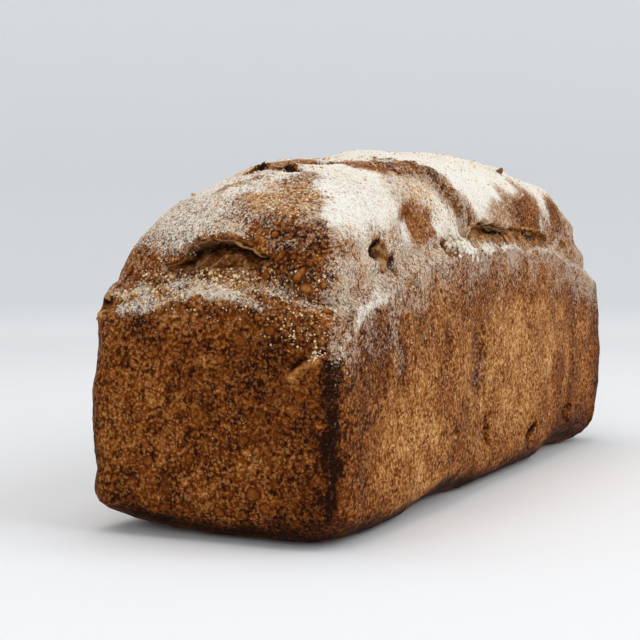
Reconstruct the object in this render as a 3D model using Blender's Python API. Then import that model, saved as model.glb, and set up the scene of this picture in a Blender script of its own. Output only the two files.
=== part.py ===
"""Walnut bread baked in a long tin: one solid loaf, in metres, +Z up.

The long axis is X and the origin lies under the middle of the loaf, on the face that it rests on.
The skin is a grid. Its rows are rings, each a rounded rectangle, that climb from the edge of the base
up the walls that the tin gave, over the rim line where the dough left the tin, and up the domed crust
to the ridge. Its columns run up the loaf. The tears, folds and hollows of the crust are relief in it.
"""

import math

import bmesh
import bpy
import numpy as np
from mathutils import Vector, noise

# The loaf as it left the tin
LENGTH = 0.310
WIDTH = 0.103
CORNER_RADIUS = 0.011

# The edge of the base is rounded, and its four corners are blunt
BASE_RADIUS = 0.014
BASE_CORNER_RADIUS = 0.022

# The rim line, where the dough left the tin, is highest at the middle of each wall
RIM_CORNER = 0.074
RIM_SIDE_RISE = 0.024
RIM_END_RISE = 0.014
RIM_SIDE_POWER = 2.4
RIM_END_POWER = 2.0

# The walls are fullest at part of their height and lean in towards the base and the rim
WALL_FULLEST = 0.42
BASE_LEAN = 0.0008
RIM_LEAN = 0.0015

# Above the rim the crust steps in, and the dome climbs from there to a ridge that leans to one side
LEDGE_RUN = 0.0050
LEDGE_RISE = 0.0027
RIDGE_HEIGHT = 0.141
RIDGE_FALL_NEAR = 0.019
RIDGE_FALL_FAR = 0.014
RIDGE_LEAN = -0.003
DOME_FULLNESS = 2.05
DOME_CORNER_POWER = 3.5

# Breaks: the crust tore and lifted, so a hollow lies under an arched lip. Each has its wall, how deep the
# hollow is under the lip, how far the lip stands out over it, and the lines of its lip and its floor, as
# places along the wall and heights.
BREAKS = (
    # The pocket in the near end
    dict(wall="near", depth=0.0062, stand_out=0.0016,
         lip=((-0.0212, 0.0994), (-0.0140, 0.1025), (-0.0081, 0.1048), (-0.0007, 0.1060), (0.0082, 0.1045),
              (0.0124, 0.1000), (0.0200, 0.0950)),
         floor=((-0.0212, 0.0990), (-0.0067, 0.0948), (0.0200, 0.0946))),
    # The long tear over the near side
    dict(wall="front", depth=0.0042, stand_out=0.0016,
         lip=((-0.0200, 0.1060), (-0.0090, 0.1086), (0.0080, 0.1078), (0.0226, 0.1060), (0.0489, 0.1047),
              (0.0728, 0.1020), (0.1000, 0.0955)),
         floor=((-0.0200, 0.1040), (0.0095, 0.1022), (0.0340, 0.1008), (0.0737, 0.0985), (0.1000, 0.0950))),
    # The tears of the two hidden walls
    dict(wall="back", depth=0.0032, stand_out=0.0014,
         lip=((-0.1000, 0.0955), (-0.0800, 0.1010), (-0.0500, 0.1062), (-0.0200, 0.1078), (0.0020, 0.1040)),
         floor=((-0.1000, 0.0945), (-0.0500, 0.1005), (0.0020, 0.1030))),
    dict(wall="far", depth=0.0030, stand_out=0.0012,
         lip=((-0.0160, 0.0935), (-0.0060, 0.0975), (0.0080, 0.0985), (0.0220, 0.0960), (0.0320, 0.0925)),
         floor=((-0.0160, 0.0925), (0.0080, 0.0925), (0.0320, 0.0915))),
)
HOLLOW_CURVE = 0.8
BREAK_END_FADE = 0.002
LEAST_OPENING = 0.0005
LIP_THICKNESS = 0.0015
LIP_FADE = 0.0070

# Hollows, and swellings where the depth is negative: the place, the reach along X, Y and Z, and the depth.
# The power rounds their rims.
HOLLOWS = (
    # The gap beside the near corner, above the ledge, and the small one next to it
    ((-0.1105, -0.046, 0.1012), (0.0082, 0.012, 0.0055), 0.0054),
    ((-0.1000, -0.046, 0.0965), (0.0050, 0.010, 0.0048), 0.0035),
    # The hole and the crumbly lumps where the long tear starts
    ((-0.0450, -0.047, 0.1012), (0.0055, 0.010, 0.0045), 0.0042),
    ((-0.0310, -0.048, 0.1010), (0.0110, 0.012, 0.0060), -0.0020),
    # The bare brown dent in the side of the dome
    ((-0.0710, -0.044, 0.1115), (0.0210, 0.014, 0.0090), 0.0034),
    # The lobes of dough on each side of the seam, and one on the far shoulder
    ((-0.105, -0.036, 0.1170), (0.0420, 0.030, 0.0300), -0.0026),
    ((0.030, -0.044, 0.1150), (0.0700, 0.022, 0.0170), -0.0026),
    ((0.095, -0.030, 0.1180), (0.0350, 0.030, 0.0200), -0.0018),
    ((-0.060, 0.040, 0.1180), (0.0600, 0.024, 0.0200), -0.0024),
    ((0.070, 0.038, 0.1160), (0.0450, 0.026, 0.0200), -0.0020),
    ((0.015, 0.040, 0.1130), (0.0130, 0.020, 0.0140), 0.0026),
    # The full foot of the dome at the hidden corner of the near end, and the notch beside it
    ((-0.1460, 0.0455, 0.0855), (0.0120, 0.012, 0.0062), -0.0034),
    ((-0.1530, 0.0430, 0.0815), (0.0060, 0.006, 0.0035), 0.0034),
    # The crest sinks over the near shoulder and past the head of the seam, which stands up a little
    ((-0.054, 0.010, 0.1390), (0.0380, 0.050, 0.0300), 0.0042),
    ((-0.005, -0.013, 0.1410), (0.0320, 0.034, 0.0200), 0.0022),
    ((-0.026, -0.001, 0.1400), (0.0120, 0.016, 0.0100), -0.0012),
    # Flats on the dome: over the hidden corner of the near end, on the far shoulder, and low at its end
    ((-0.110, 0.024, 0.1270), (0.0240, 0.022, 0.0140), 0.0019),
    ((0.096, -0.026, 0.1310), (0.0260, 0.022, 0.0140), 0.0026),
    ((0.1345, -0.044, 0.0990), (0.0130, 0.012, 0.0080), 0.0028),
    # The hidden upright edge of the near end, hollow at its top and full at its foot
    ((-0.1500, 0.0505, 0.0670), (0.0120, 0.012, 0.0150), 0.0022),
    ((-0.1480, 0.0480, 0.0130), (0.0160, 0.014, 0.0110), -0.0030),
    # Dents in the walls
    ((-0.031, -0.052, 0.0550), (0.0080, 0.008, 0.0170), 0.0016),
    ((-0.013, -0.052, 0.0240), (0.0090, 0.008, 0.0120), 0.0022),
    ((0.045, -0.052, 0.0170), (0.0090, 0.009, 0.0090), 0.0034),
    ((0.098, -0.052, 0.0190), (0.0070, 0.008, 0.0090), 0.0026),
    ((0.060, 0.052, 0.0450), (0.0120, 0.008, 0.0150), 0.0018),
    ((-0.080, 0.052, 0.0300), (0.0100, 0.008, 0.0120), 0.0020),
    ((0.156, -0.012, 0.0400), (0.0080, 0.011, 0.0130), 0.0020),
)

HOLLOW_POWER = 1.5

# Creases, and folds where the depth is negative: the places that it passes, the half width, the depth
CREASES = (
    # The seam that crosses the dome and drops to the long tear
    (
        ((-0.066, -0.019, 0.137), (-0.058, -0.029, 0.132), (-0.042, -0.036, 0.128), (-0.032, -0.041, 0.121),
         (-0.027, -0.045, 0.112), (-0.023, -0.046, 0.104)),
        0.0065,
        0.0032,
    ),
    # The cracks along the near shoulder of the dome
    (((-0.112, 0.004, 0.132), (-0.113, -0.010, 0.131), (-0.096, -0.014, 0.133)), 0.0040, 0.0022),
    # The flap of dough at the near corner and the crease above it
    (((-0.156, -0.031, 0.059), (-0.155, -0.038, 0.064), (-0.154, -0.043, 0.067)), 0.0042, -0.0024),
    (((-0.156, -0.033, 0.064), (-0.155, -0.039, 0.069), (-0.154, -0.044, 0.072)), 0.0035, 0.0016),
    # A seam on the far shoulder
    (((0.060, 0.010, 0.139), (0.072, 0.026, 0.132), (0.078, 0.040, 0.118)), 0.0060, 0.0024),
)

# The rounded edge of the base stands clear of the table in places: place and reach along X and Y, height
FOOT_LIFTS = (
    ((-0.1550, -0.010), (0.018, 0.070), 0.0022),
    ((-0.1520, 0.034), (0.022, 0.030), 0.0022),
    ((-0.1350, -0.0500), (0.024, 0.018), 0.0014),
    ((-0.0560, -0.0520), (0.018, 0.020), 0.0052),
    ((0.1040, -0.0520), (0.036, 0.020), 0.0058),
    ((0.0200, -0.0520), (0.160, 0.014), 0.0018),
    ((-0.0200, 0.0520), (0.050, 0.018), 0.0030),
    ((0.1550, 0.010), (0.018, 0.040), 0.0026),
)
FOOT_LIFT_FADE = (0.004, 0.016)

# Unevenness of the whole skin: the size of its swells and how far they reach
SWELLS = ((0.060, 0.0016), (0.022, 0.0008), (0.010, 0.0005))
# The swells die away towards the face that it rests on
BASE_CALM = 0.012

# The grid
COLUMNS = 156
EDGE_ROWS = 3
WALL_ROWS = 9
DOME_ROWS = 23
RIM_CROWDING = 1.5
FOOT_CROWDING = 1.15
WELD = 0.00001

# A darkly baked crust
CRUST_COLOUR = (0.235, 0.100, 0.035, 1.0)
CRUST_ROUGHNESS = 0.8

# Each wall's run along it, and the way that it faces
WALLS = {
    "front": (0, 1, -1),
    "back": (0, 1, 1),
    "near": (1, 0, -1),
    "far": (1, 0, 1),
}
FACING = (0.25, 0.6)


def ease(value, low, high):
    """Climbs smoothly from 0 at low to 1 at high."""
    share = np.clip((value - low) / (high - low), 0, 1)
    return share * share * (3 - 2 * share)


def ring(half_length, half_width, radius, count):
    """Points spaced evenly round a rounded rectangle, anticlockwise from its corner at -X -Y."""
    radius = min(radius, half_length, half_width)
    core_x = half_length - radius
    core_y = half_width - radius
    quarter = math.pi / 2 * radius
    sides = [2 * core_x, quarter, 2 * core_y, quarter, 2 * core_x, quarter, 2 * core_y]
    knots = np.cumsum([0, quarter / 2, *sides, quarter / 2])
    at = np.arange(count) / count * knots[-1]
    x = np.interp(at, knots, core_x * np.array([-1, -1, 1, 1, 1, 1, -1, -1, -1, -1]))
    y = np.interp(at, knots, core_y * np.array([-1, -1, -1, -1, 1, 1, 1, 1, -1, -1]))
    facing = np.radians(np.interp(at, knots, [-135, -90, -90, 0, 0, 90, 90, 180, 180, 225]))
    return x + radius * np.cos(facing), y + radius * np.sin(facing)


def rim_height(x, y):
    """Height of the rim line at a place on the walls."""
    along = np.clip(np.abs(x) / (LENGTH / 2), 0, 1)
    across = np.clip(np.abs(y) / (WIDTH / 2), 0, 1)
    side = RIM_SIDE_RISE * (1 - along**RIM_SIDE_POWER)
    end = RIM_END_RISE * (1 - across**RIM_END_POWER)
    return RIM_CORNER + side + end


def ridge_height(x):
    fall = np.where(x < 0, RIDGE_FALL_NEAR, RIDGE_FALL_FAR)
    return RIDGE_HEIGHT - fall * (np.abs(x) / (LENGTH / 2)) ** 2


def wall_inset(climb):
    """How far the wall stands in from its fullest, climb being 0 at the base and 1 at the rim."""
    below = np.clip((WALL_FULLEST - climb) / WALL_FULLEST, 0, 1)
    above = np.clip((climb - WALL_FULLEST) / (1 - WALL_FULLEST), 0, 1)
    return BASE_LEAN * below**2 + RIM_LEAN * above**2


def wall_corner(climb):
    """Radius of the corners between the walls, which blend into the blunt corners of the base."""
    blunt = np.clip((WALL_FULLEST - climb) / WALL_FULLEST, 0, 1) ** 2
    return CORNER_RADIUS + (BASE_CORNER_RADIUS - CORNER_RADIUS) * blunt / 2


def smooth_skin(columns, edge_rows, wall_rows, dome_rows):
    """The skin without its relief, as an array of rows by columns by XYZ."""
    half_length, half_width = LENGTH / 2, WIDTH / 2
    rows = []

    def add_row(inset, radius, height_of):
        x, y = ring(half_length - inset, half_width - inset, radius, columns)
        rows.append(np.stack([x, y, height_of(x, y)], axis=1))

    for turn in np.linspace(0, math.pi / 2, edge_rows, endpoint=False):
        inset = BASE_LEAN + BASE_RADIUS * (1 - math.sin(turn))
        level = BASE_RADIUS * (1 - math.cos(turn))
        corner = BASE_CORNER_RADIUS + (wall_corner(0) - BASE_CORNER_RADIUS) * math.sin(turn)
        add_row(inset, corner, lambda x, y, z=level: np.full_like(x, z))

    for share in np.linspace(0, 1, wall_rows + 1):
        climb = 1 - (1 - share) ** RIM_CROWDING
        add_row(
            wall_inset(climb),
            wall_corner(climb),
            lambda x, y, c=climb: BASE_RADIUS + c * (rim_height(x, y) - BASE_RADIUS),
        )

    bend = 2 / DOME_FULLNESS
    foot = RIM_LEAN + LEDGE_RUN
    for share in np.linspace(0, 1, dome_rows + 1) ** FOOT_CROWDING:
        turn = math.pi / 2 * share
        run = 1 - math.cos(turn) ** bend
        rise = math.sin(turn) ** bend
        inset = foot + (half_width - foot) * run
        squareness = max(0.0, 1 - run) ** DOME_CORNER_POWER
        radius = (half_width - inset) - (half_width - foot - CORNER_RADIUS) * squareness
        add_row(
            inset,
            max(radius, 0.0),
            lambda x, y, r=rise: (1 - r) * (rim_height(x, y) + LEDGE_RISE) + r * ridge_height(x),
        )
        rows[-1][:, 1] += RIDGE_LEAN * share
    return np.array(rows)


def outward(skin):
    """The way out of the loaf at each point, level at the base and straight up along the ridge."""
    along = np.roll(skin, -1, axis=1) - np.roll(skin, 1, axis=1)
    climb = np.gradient(skin, axis=0)
    way = np.cross(along, climb)
    way[-1] = (0, 0, 1)
    way[0, :, 2] = 0
    return way / np.linalg.norm(way, axis=2, keepdims=True)


def break_depth(skin, way, wall, lip, floor, depth, stand_out):
    """The hollow of a break, which deepens towards its lip, and the lip that stands out over it."""
    along, faced, sign = WALLS[wall]
    place = skin[..., along]
    height = skin[..., 2]
    top = np.interp(place, *np.transpose(lip))
    bottom = np.interp(place, *np.transpose(floor))
    share = np.clip((height - bottom) / np.maximum(top - bottom, LEAST_OPENING), 0, 1)
    past_lip = ease(height, top, top + LIP_THICKNESS)
    fade = np.clip(1 - (height - top) / LIP_FADE, 0, 1)
    inward = depth * share**HOLLOW_CURVE * (1 - past_lip)
    start, end = lip[0][0], lip[-1][0]
    inside = ease(place, start, start + BREAK_END_FADE) * (1 - ease(place, end - BREAK_END_FADE, end))
    facing = ease(sign * way[..., faced], *FACING)
    return (inward - stand_out * fade * past_lip) * inside * facing


def hollow_depth(skin, place, reach, depth):
    """An oval hollow, deepest at its place and level with the skin at its reach."""
    away = np.sum(((skin - np.array(place)) / np.array(reach)) ** 2, axis=2)
    return depth * np.clip(1 - away, 0, 1) ** HOLLOW_POWER


def crease_depth(skin, places, half_width, depth):
    """A groove along a line of places on the skin."""
    nearest = np.full(skin.shape[:2], np.inf)
    for start, end in zip(np.array(places), np.array(places[1:])):
        run = end - start
        share = np.clip((skin - start) @ run / (run @ run), 0, 1)
        away = np.linalg.norm(skin - start - share[..., None] * run, axis=2)
        nearest = np.minimum(nearest, away)
    return depth * (1 - ease(nearest, 0, half_width))


def foot_lift(skin):
    """How far the rounded edge of the base stands up."""
    total = np.zeros(skin.shape[:2])
    for place, reach, height in FOOT_LIFTS:
        away = np.sum(((skin[..., :2] - np.array(place)) / np.array(reach)) ** 2, axis=2)
        total += height * np.clip(1 - away, 0, 1)
    return total * (1 - ease(skin[..., 2], *FOOT_LIFT_FADE))


def swell(skin):
    """Unevenness of the whole skin, outward where it is positive."""
    total = np.zeros(skin.shape[:2])
    for size, reach in SWELLS:
        for row in range(skin.shape[0]):
            for column in range(skin.shape[1]):
                total[row, column] += reach * noise.noise(Vector(skin[row, column] / size))
    return total * ease(skin[..., 2], 0, BASE_CALM)


def crust_skin():
    """The skin with its breaks, hollows, creases and unevenness."""
    skin = smooth_skin(COLUMNS, EDGE_ROWS, WALL_ROWS, DOME_ROWS)
    way = outward(skin)
    depth = -swell(skin)
    for values in BREAKS:
        depth += break_depth(skin, way, **values)
    for values in HOLLOWS:
        depth += hollow_depth(skin, *values)
    for values in CREASES:
        depth += crease_depth(skin, *values)
    crust = skin - way * depth[..., None]
    crust[1:, :, 2] += foot_lift(skin[1:])
    return crust


def crust_material():
    """Baked crust, dull and brown."""
    crust = bpy.data.materials.new("baked_crust")
    crust.use_nodes = True
    shader = crust.node_tree.nodes["Principled BSDF"]
    shader.inputs["Base Color"].default_value = CRUST_COLOUR
    shader.inputs["Roughness"].default_value = CRUST_ROUGHNESS
    shader.inputs["Metallic"].default_value = 0.0
    return crust


def loaf():
    """One closed solid: the rows of the skin joined by faces, with a flat face under it."""
    skin = crust_skin()
    mesh = bmesh.new()
    rows = [[mesh.verts.new(point) for point in row] for row in skin]
    for low, high in zip(rows, rows[1:]):
        for j, start in enumerate(low):
            k = (j + 1) % len(low)
            mesh.faces.new([start, low[k], high[k], high[j]])
    mesh.faces.new(list(reversed(rows[0])))
    bmesh.ops.remove_doubles(mesh, verts=mesh.verts, dist=WELD)
    data = bpy.data.meshes.new("loaf")
    mesh.to_mesh(data)
    mesh.free()
    data.shade_smooth()
    data.materials.append(crust_material())
    piece = bpy.data.objects.new("loaf", data)
    bpy.context.scene.collection.objects.link(piece)


def main():
    for item in list(bpy.data.objects):
        bpy.data.objects.remove(item, do_unlink=True)
    loaf()


main()
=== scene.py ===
"""Walnut bread baked in a long tin, in metres: its crust, the flour and crumbs on it, and the studio."""

import math

import bpy
import numpy as np
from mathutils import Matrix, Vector, noise


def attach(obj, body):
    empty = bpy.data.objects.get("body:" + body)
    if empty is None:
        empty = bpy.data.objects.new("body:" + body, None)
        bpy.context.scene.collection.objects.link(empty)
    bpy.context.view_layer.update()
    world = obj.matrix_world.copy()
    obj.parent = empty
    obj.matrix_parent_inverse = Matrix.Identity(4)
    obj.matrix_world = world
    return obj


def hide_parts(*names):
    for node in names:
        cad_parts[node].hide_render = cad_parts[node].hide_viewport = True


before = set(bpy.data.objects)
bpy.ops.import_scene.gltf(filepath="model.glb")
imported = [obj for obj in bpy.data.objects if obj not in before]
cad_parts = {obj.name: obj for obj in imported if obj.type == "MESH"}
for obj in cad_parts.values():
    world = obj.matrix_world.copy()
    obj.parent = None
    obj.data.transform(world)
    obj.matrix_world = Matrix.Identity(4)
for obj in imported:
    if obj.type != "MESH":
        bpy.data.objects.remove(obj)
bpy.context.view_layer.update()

# The loaf. One piece of yeast dough with walnuts, proved and baked in a long tin, so its walls are the
# tin's. Above the rim line it rose free, was dusted with flour, and tore where it swelled the most.

# The form that the tin and the rise gave
LENGTH = 0.31
WIDTH = 0.103
CORNER_RADIUS = 0.011
BASE_RADIUS = 0.014
BASE_CORNER_RADIUS = 0.022
RIM_CORNER = 0.074
RIM_SIDE_RISE = 0.024
RIM_END_RISE = 0.014
RIM_SIDE_POWER = 2.4
RIM_END_POWER = 2.0
WALL_FULLEST = 0.42
BASE_LEAN = 0.0008
RIM_LEAN = 0.0015
LEDGE_RUN = 0.005
LEDGE_RISE = 0.0027
RIDGE_HEIGHT = 0.141
RIDGE_FALL_NEAR = 0.019
RIDGE_FALL_FAR = 0.014
RIDGE_LEAN = -0.003
DOME_FULLNESS = 2.05
DOME_CORNER_POWER = 3.5

# Rows of the skin, from the middle of the underside to the ridge
SOLE_ROWS = 4
EDGE_ROWS = 6
WALL_ROWS = 50
LEDGE_ROWS = 5
DOME_ROWS = 84
RIM_CROWDING = 1.1
FOOT_CROWDING = 1.35

# Columns of the skin. Each quarter runs from the middle of an end wall to the middle of a side, and its
# columns are closest at the end seen from close by. Going round, every other quarter runs backwards.
QUARTERS = (
    # end, side, columns, and their first step as a share of the mean one
    (-1, -1, 250, 0.75),
    (1, -1, 165, 1.15),
    (1, 1, 90, 1.0),
    (-1, 1, 150, 0.4),
)


def ease(value, low, high):
    """Climbs smoothly from 0 at low to 1 at high."""
    share = np.clip((value - low) / (high - low), 0, 1)
    return share * share * (3 - 2 * share)


def ring(half_length, half_width, radius):
    """Points round a rounded rectangle, anticlockwise from the middle of the near end."""
    radius = min(radius, half_length, half_width)
    core_x = half_length - radius
    core_y = half_width - radius
    quarter = math.pi / 2 * radius
    knots = np.cumsum([0, core_y, quarter, core_x])
    pieces = []
    for number, (end, side, count, first_step) in enumerate(QUARTERS):
        steps = np.arange(count) if number % 2 == 0 else np.arange(count, 0, -1)
        shares = steps / count
        at = shares * (first_step + (1 - first_step) * shares) * knots[-1]
        x = np.interp(at, knots, [core_x, core_x, core_x, 0])
        y = np.interp(at, knots, [0, core_y, core_y, core_y])
        turn = np.interp(at, knots, [0, 0, math.pi / 2, math.pi / 2])
        pieces.append(np.stack([end * (x + radius * np.cos(turn)), side * (y + radius * np.sin(turn))]))
    return np.concatenate(pieces, axis=1)


def rim_height(x, y):
    """Height of the rim line, where the dough left the tin."""
    along = np.clip(np.abs(x) / (LENGTH / 2), 0, 1)
    across = np.clip(np.abs(y) / (WIDTH / 2), 0, 1)
    return (
        RIM_CORNER
        + RIM_SIDE_RISE * (1 - along**RIM_SIDE_POWER)
        + RIM_END_RISE * (1 - across**RIM_END_POWER)
    )


def ridge_height(x):
    """Height of the dome's ridge, which falls towards both ends."""
    fall = np.where(x < 0, RIDGE_FALL_NEAR, RIDGE_FALL_FAR)
    return RIDGE_HEIGHT - fall * (np.abs(x) / (LENGTH / 2)) ** 2


def wall_inset(climb):
    """How far the wall stands in from its fullest, climb being 0 at the base and 1 at the rim."""
    below = np.clip((WALL_FULLEST - climb) / WALL_FULLEST, 0, 1)
    above = np.clip((climb - WALL_FULLEST) / (1 - WALL_FULLEST), 0, 1)
    return BASE_LEAN * below**2 + RIM_LEAN * above**2


def wall_corner(climb):
    """Radius of the corners between the walls, which blend into the blunt corners of the base."""
    blunt = np.clip((WALL_FULLEST - climb) / WALL_FULLEST, 0, 1) ** 2
    return CORNER_RADIUS + (BASE_CORNER_RADIUS - CORNER_RADIUS) * blunt / 2


def smooth_skin():
    """The skin without relief, as an array of rows by columns by XYZ, from under the loaf to its ridge."""
    half_length, half_width = LENGTH / 2, WIDTH / 2
    rows = []

    def add_row(inset, radius, height_of):
        """One more row, this far in from the fullest section, with its height by place."""
        x, y = ring(half_length - inset, half_width - inset, radius)
        rows.append(np.stack([x, y, height_of(x, y)], axis=1))

    edge_inset = BASE_LEAN + BASE_RADIUS
    for share in np.linspace(0, 1, SOLE_ROWS, endpoint=False):
        inset = half_width + (edge_inset - half_width) * share
        add_row(inset, BASE_CORNER_RADIUS * share, lambda x, y: np.zeros_like(x))

    for turn in np.linspace(0, math.pi / 2, EDGE_ROWS, endpoint=False):
        inset = BASE_LEAN + BASE_RADIUS * (1 - math.sin(turn))
        level = BASE_RADIUS * (1 - math.cos(turn))
        corner = BASE_CORNER_RADIUS + (wall_corner(0) - BASE_CORNER_RADIUS) * math.sin(turn)
        add_row(inset, corner, lambda x, y, z=level: np.full_like(x, z))

    for share in np.linspace(0, 1, WALL_ROWS + 1):
        climb = 1 - (1 - share) ** RIM_CROWDING
        add_row(
            wall_inset(climb),
            wall_corner(climb),
            lambda x, y, c=climb: BASE_RADIUS + c * (rim_height(x, y) - BASE_RADIUS),
        )

    bend = 2 / DOME_FULLNESS
    foot = RIM_LEAN + LEDGE_RUN
    for share in np.linspace(0, 1, LEDGE_ROWS, endpoint=False)[1:]:
        rise = LEDGE_RISE * (1 - math.cos(share * math.pi)) / 2
        add_row(RIM_LEAN + LEDGE_RUN * share, CORNER_RADIUS, lambda x, y, r=rise: rim_height(x, y) + r)
    for share in np.linspace(0, 1, DOME_ROWS + 1) ** FOOT_CROWDING:
        turn = math.pi / 2 * share
        run = 1 - math.cos(turn) ** bend
        rise = math.sin(turn) ** bend
        inset = foot + (half_width - foot) * run
        squareness = max(0.0, 1 - run) ** DOME_CORNER_POWER
        radius = (half_width - inset) - (half_width - foot - CORNER_RADIUS) * squareness
        add_row(
            inset,
            max(radius, 0.0),
            lambda x, y, r=rise: (1 - r) * (rim_height(x, y) + LEDGE_RISE) + r * ridge_height(x),
        )
        rows[-1][:, 1] += RIDGE_LEAN * share
    return np.array(rows)


def outward(skin):
    """The way out of the loaf at each point of the skin."""
    along = np.roll(skin, -1, axis=1) - np.roll(skin, 1, axis=1)
    climb = np.gradient(skin, axis=0)
    way = np.cross(along, climb)
    way[0] = (0, 0, -1)
    way[-1] = (0, 0, 1)
    size = np.linalg.norm(way, axis=2, keepdims=True)
    return way / np.maximum(size, 1e-12)


def rough(at, size, seed=0.0):
    """Smooth random values from -1 to 1 at the points, whose lumps are about size metres across."""
    shifted = at.reshape(-1, 3) / size + seed
    values = [noise.noise(place) for place in shifted.tolist()]
    return np.array(values).reshape(at.shape[:-1])


def cells(at, size, seed=0.0):
    """Distance to the nearest of scattered points about size metres apart, as a share of that size."""
    shifted = at.reshape(-1, 3) / size + seed
    values = [noise.voronoi(place)[0][0] for place in shifted.tolist()]
    return np.array(values).reshape(at.shape[:-1])


def oval(at, place, reach):
    """1 at the place and 0 at its reach along X, Y and Z."""
    away = np.sum(((at - np.array(place)) / np.array(reach)) ** 2, axis=-1)
    return np.clip(1 - away, 0, 1)


def along_line(at, places, half_width):
    """1 on the line through the places and 0 at its half width."""
    nearest = np.full(at.shape[:-1], np.inf)
    for start, end in zip(np.array(places), np.array(places[1:])):
        run = end - start
        share = np.clip((at - start) @ run / (run @ run), 0, 1)
        away = np.linalg.norm(at - start - share[..., None] * run, axis=-1)
        nearest = np.minimum(nearest, away)
    return 1 - ease(nearest, 0, half_width)


# Breaks: the crust tore and lifted, so a hollow lies under an arched lip. The lip and the floor of the
# hollow are lines of places along the wall and heights.
WALLS = {"front": (0, 1, -1), "back": (0, 1, 1), "near": (1, 0, -1), "far": (1, 0, 1)}
BREAKS = (
    dict(wall="near", depth=0.0066, stand_out=0.0016, droop=0.0016,
         lip=((-0.0212, 0.0994), (-0.0206, 0.1), (-0.014, 0.1025), (-0.0081, 0.1048), (-0.0007, 0.106),
              (0.0082, 0.1045), (0.011, 0.1022), (0.0124, 0.0985), (0.0192, 0.0958), (0.02, 0.095)),
         floor=((-0.0212, 0.0992), (-0.0175, 0.0965), (-0.0067, 0.0948), (0.0124, 0.095), (0.02, 0.0946))),
    dict(wall="front", depth=0.0042, stand_out=0.0012, droop=0.001,
         lip=((-0.018, 0.107), (-0.013, 0.1094), (-0.005, 0.1092), (0.008, 0.108), (0.018, 0.1066),
              (0.026, 0.1068), (0.04, 0.1058), (0.056, 0.1052), (0.072, 0.103), (0.082, 0.101)),
         floor=((-0.018, 0.1064), (-0.011, 0.1052), (0.0, 0.1046), (0.012, 0.1036), (0.02, 0.104),
                (0.034, 0.104), (0.05, 0.1036), (0.072, 0.1016), (0.082, 0.1004))),
    dict(wall="back", depth=0.0036, stand_out=0.0014, droop=0.0012,
         lip=((-0.1, 0.095), (-0.08, 0.101), (-0.05, 0.1062), (-0.02, 0.1078), (0.002, 0.104)),
         floor=((-0.1, 0.0945), (-0.05, 0.1005), (0.002, 0.103))),
    dict(wall="far", depth=0.0034, stand_out=0.0012, droop=0.0012,
         lip=((-0.016, 0.093), (-0.006, 0.0975), (0.008, 0.0985), (0.022, 0.096), (0.032, 0.0925)),
         floor=((-0.016, 0.0925), (0.008, 0.0925), (0.032, 0.0915))),
)
HOLLOW_FOOT = 0.3
LIP_THICKNESS = 0.0008
LIP_FADE = 0.006
LIP_BAND = 0.002
LIP_SHADE_SHARES = (0.55, 1.0)
FACING = (0.25, 0.6)


def break_shape(skin, way, uneven, wall, lip, floor, depth, stand_out, droop):
    """How far the break moves each point in and down, how torn it is, the shade painted into the hollow under
    its lip, and its lip's band.
    """
    along, faced, sign = WALLS[wall]
    place = skin[..., along]
    lip, floor = np.array(lip), np.array(floor)
    top = np.interp(place, lip[:, 0], lip[:, 1]) + droop + uneven
    bottom = np.interp(place, floor[:, 0], floor[:, 1]) + 0.5 * uneven
    height = skin[..., 2]
    share = np.clip((height - bottom) / np.maximum(top - bottom, 0.0004), 0, 1)
    past_lip = ease(height, top, top + LIP_THICKNESS)
    fade = np.clip(1 - (height - top) / LIP_FADE, 0, 1)
    inside = ease(place, lip[0, 0], lip[0, 0] + 0.002) * (1 - ease(place, lip[-1, 0] - 0.002, lip[-1, 0]))
    facing = ease(sign * way[..., faced], *FACING) * inside
    hollow = depth * (0.5 * ease(share, 0, HOLLOW_FOOT) + 0.5 * share) * ease(top - bottom, 0.001, 0.006)
    inward = (hollow * (1 - past_lip) - stand_out * fade * past_lip) * facing
    down = droop * fade**2 * past_lip * facing
    torn = ease(share, 0.05, 0.25) * (1 - past_lip) * facing
    # Painted shade: the upper part of the hollow, under the lip, is painted dark
    lip_shade = ease(share, *LIP_SHADE_SHARES) * (1 - past_lip) * facing * ease(top - bottom, 0.002, 0.005)
    band = past_lip * (1 - ease(height - top, 0.6 * LIP_BAND, LIP_BAND)) * facing
    return inward, down, torn, lip_shade, band


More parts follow.
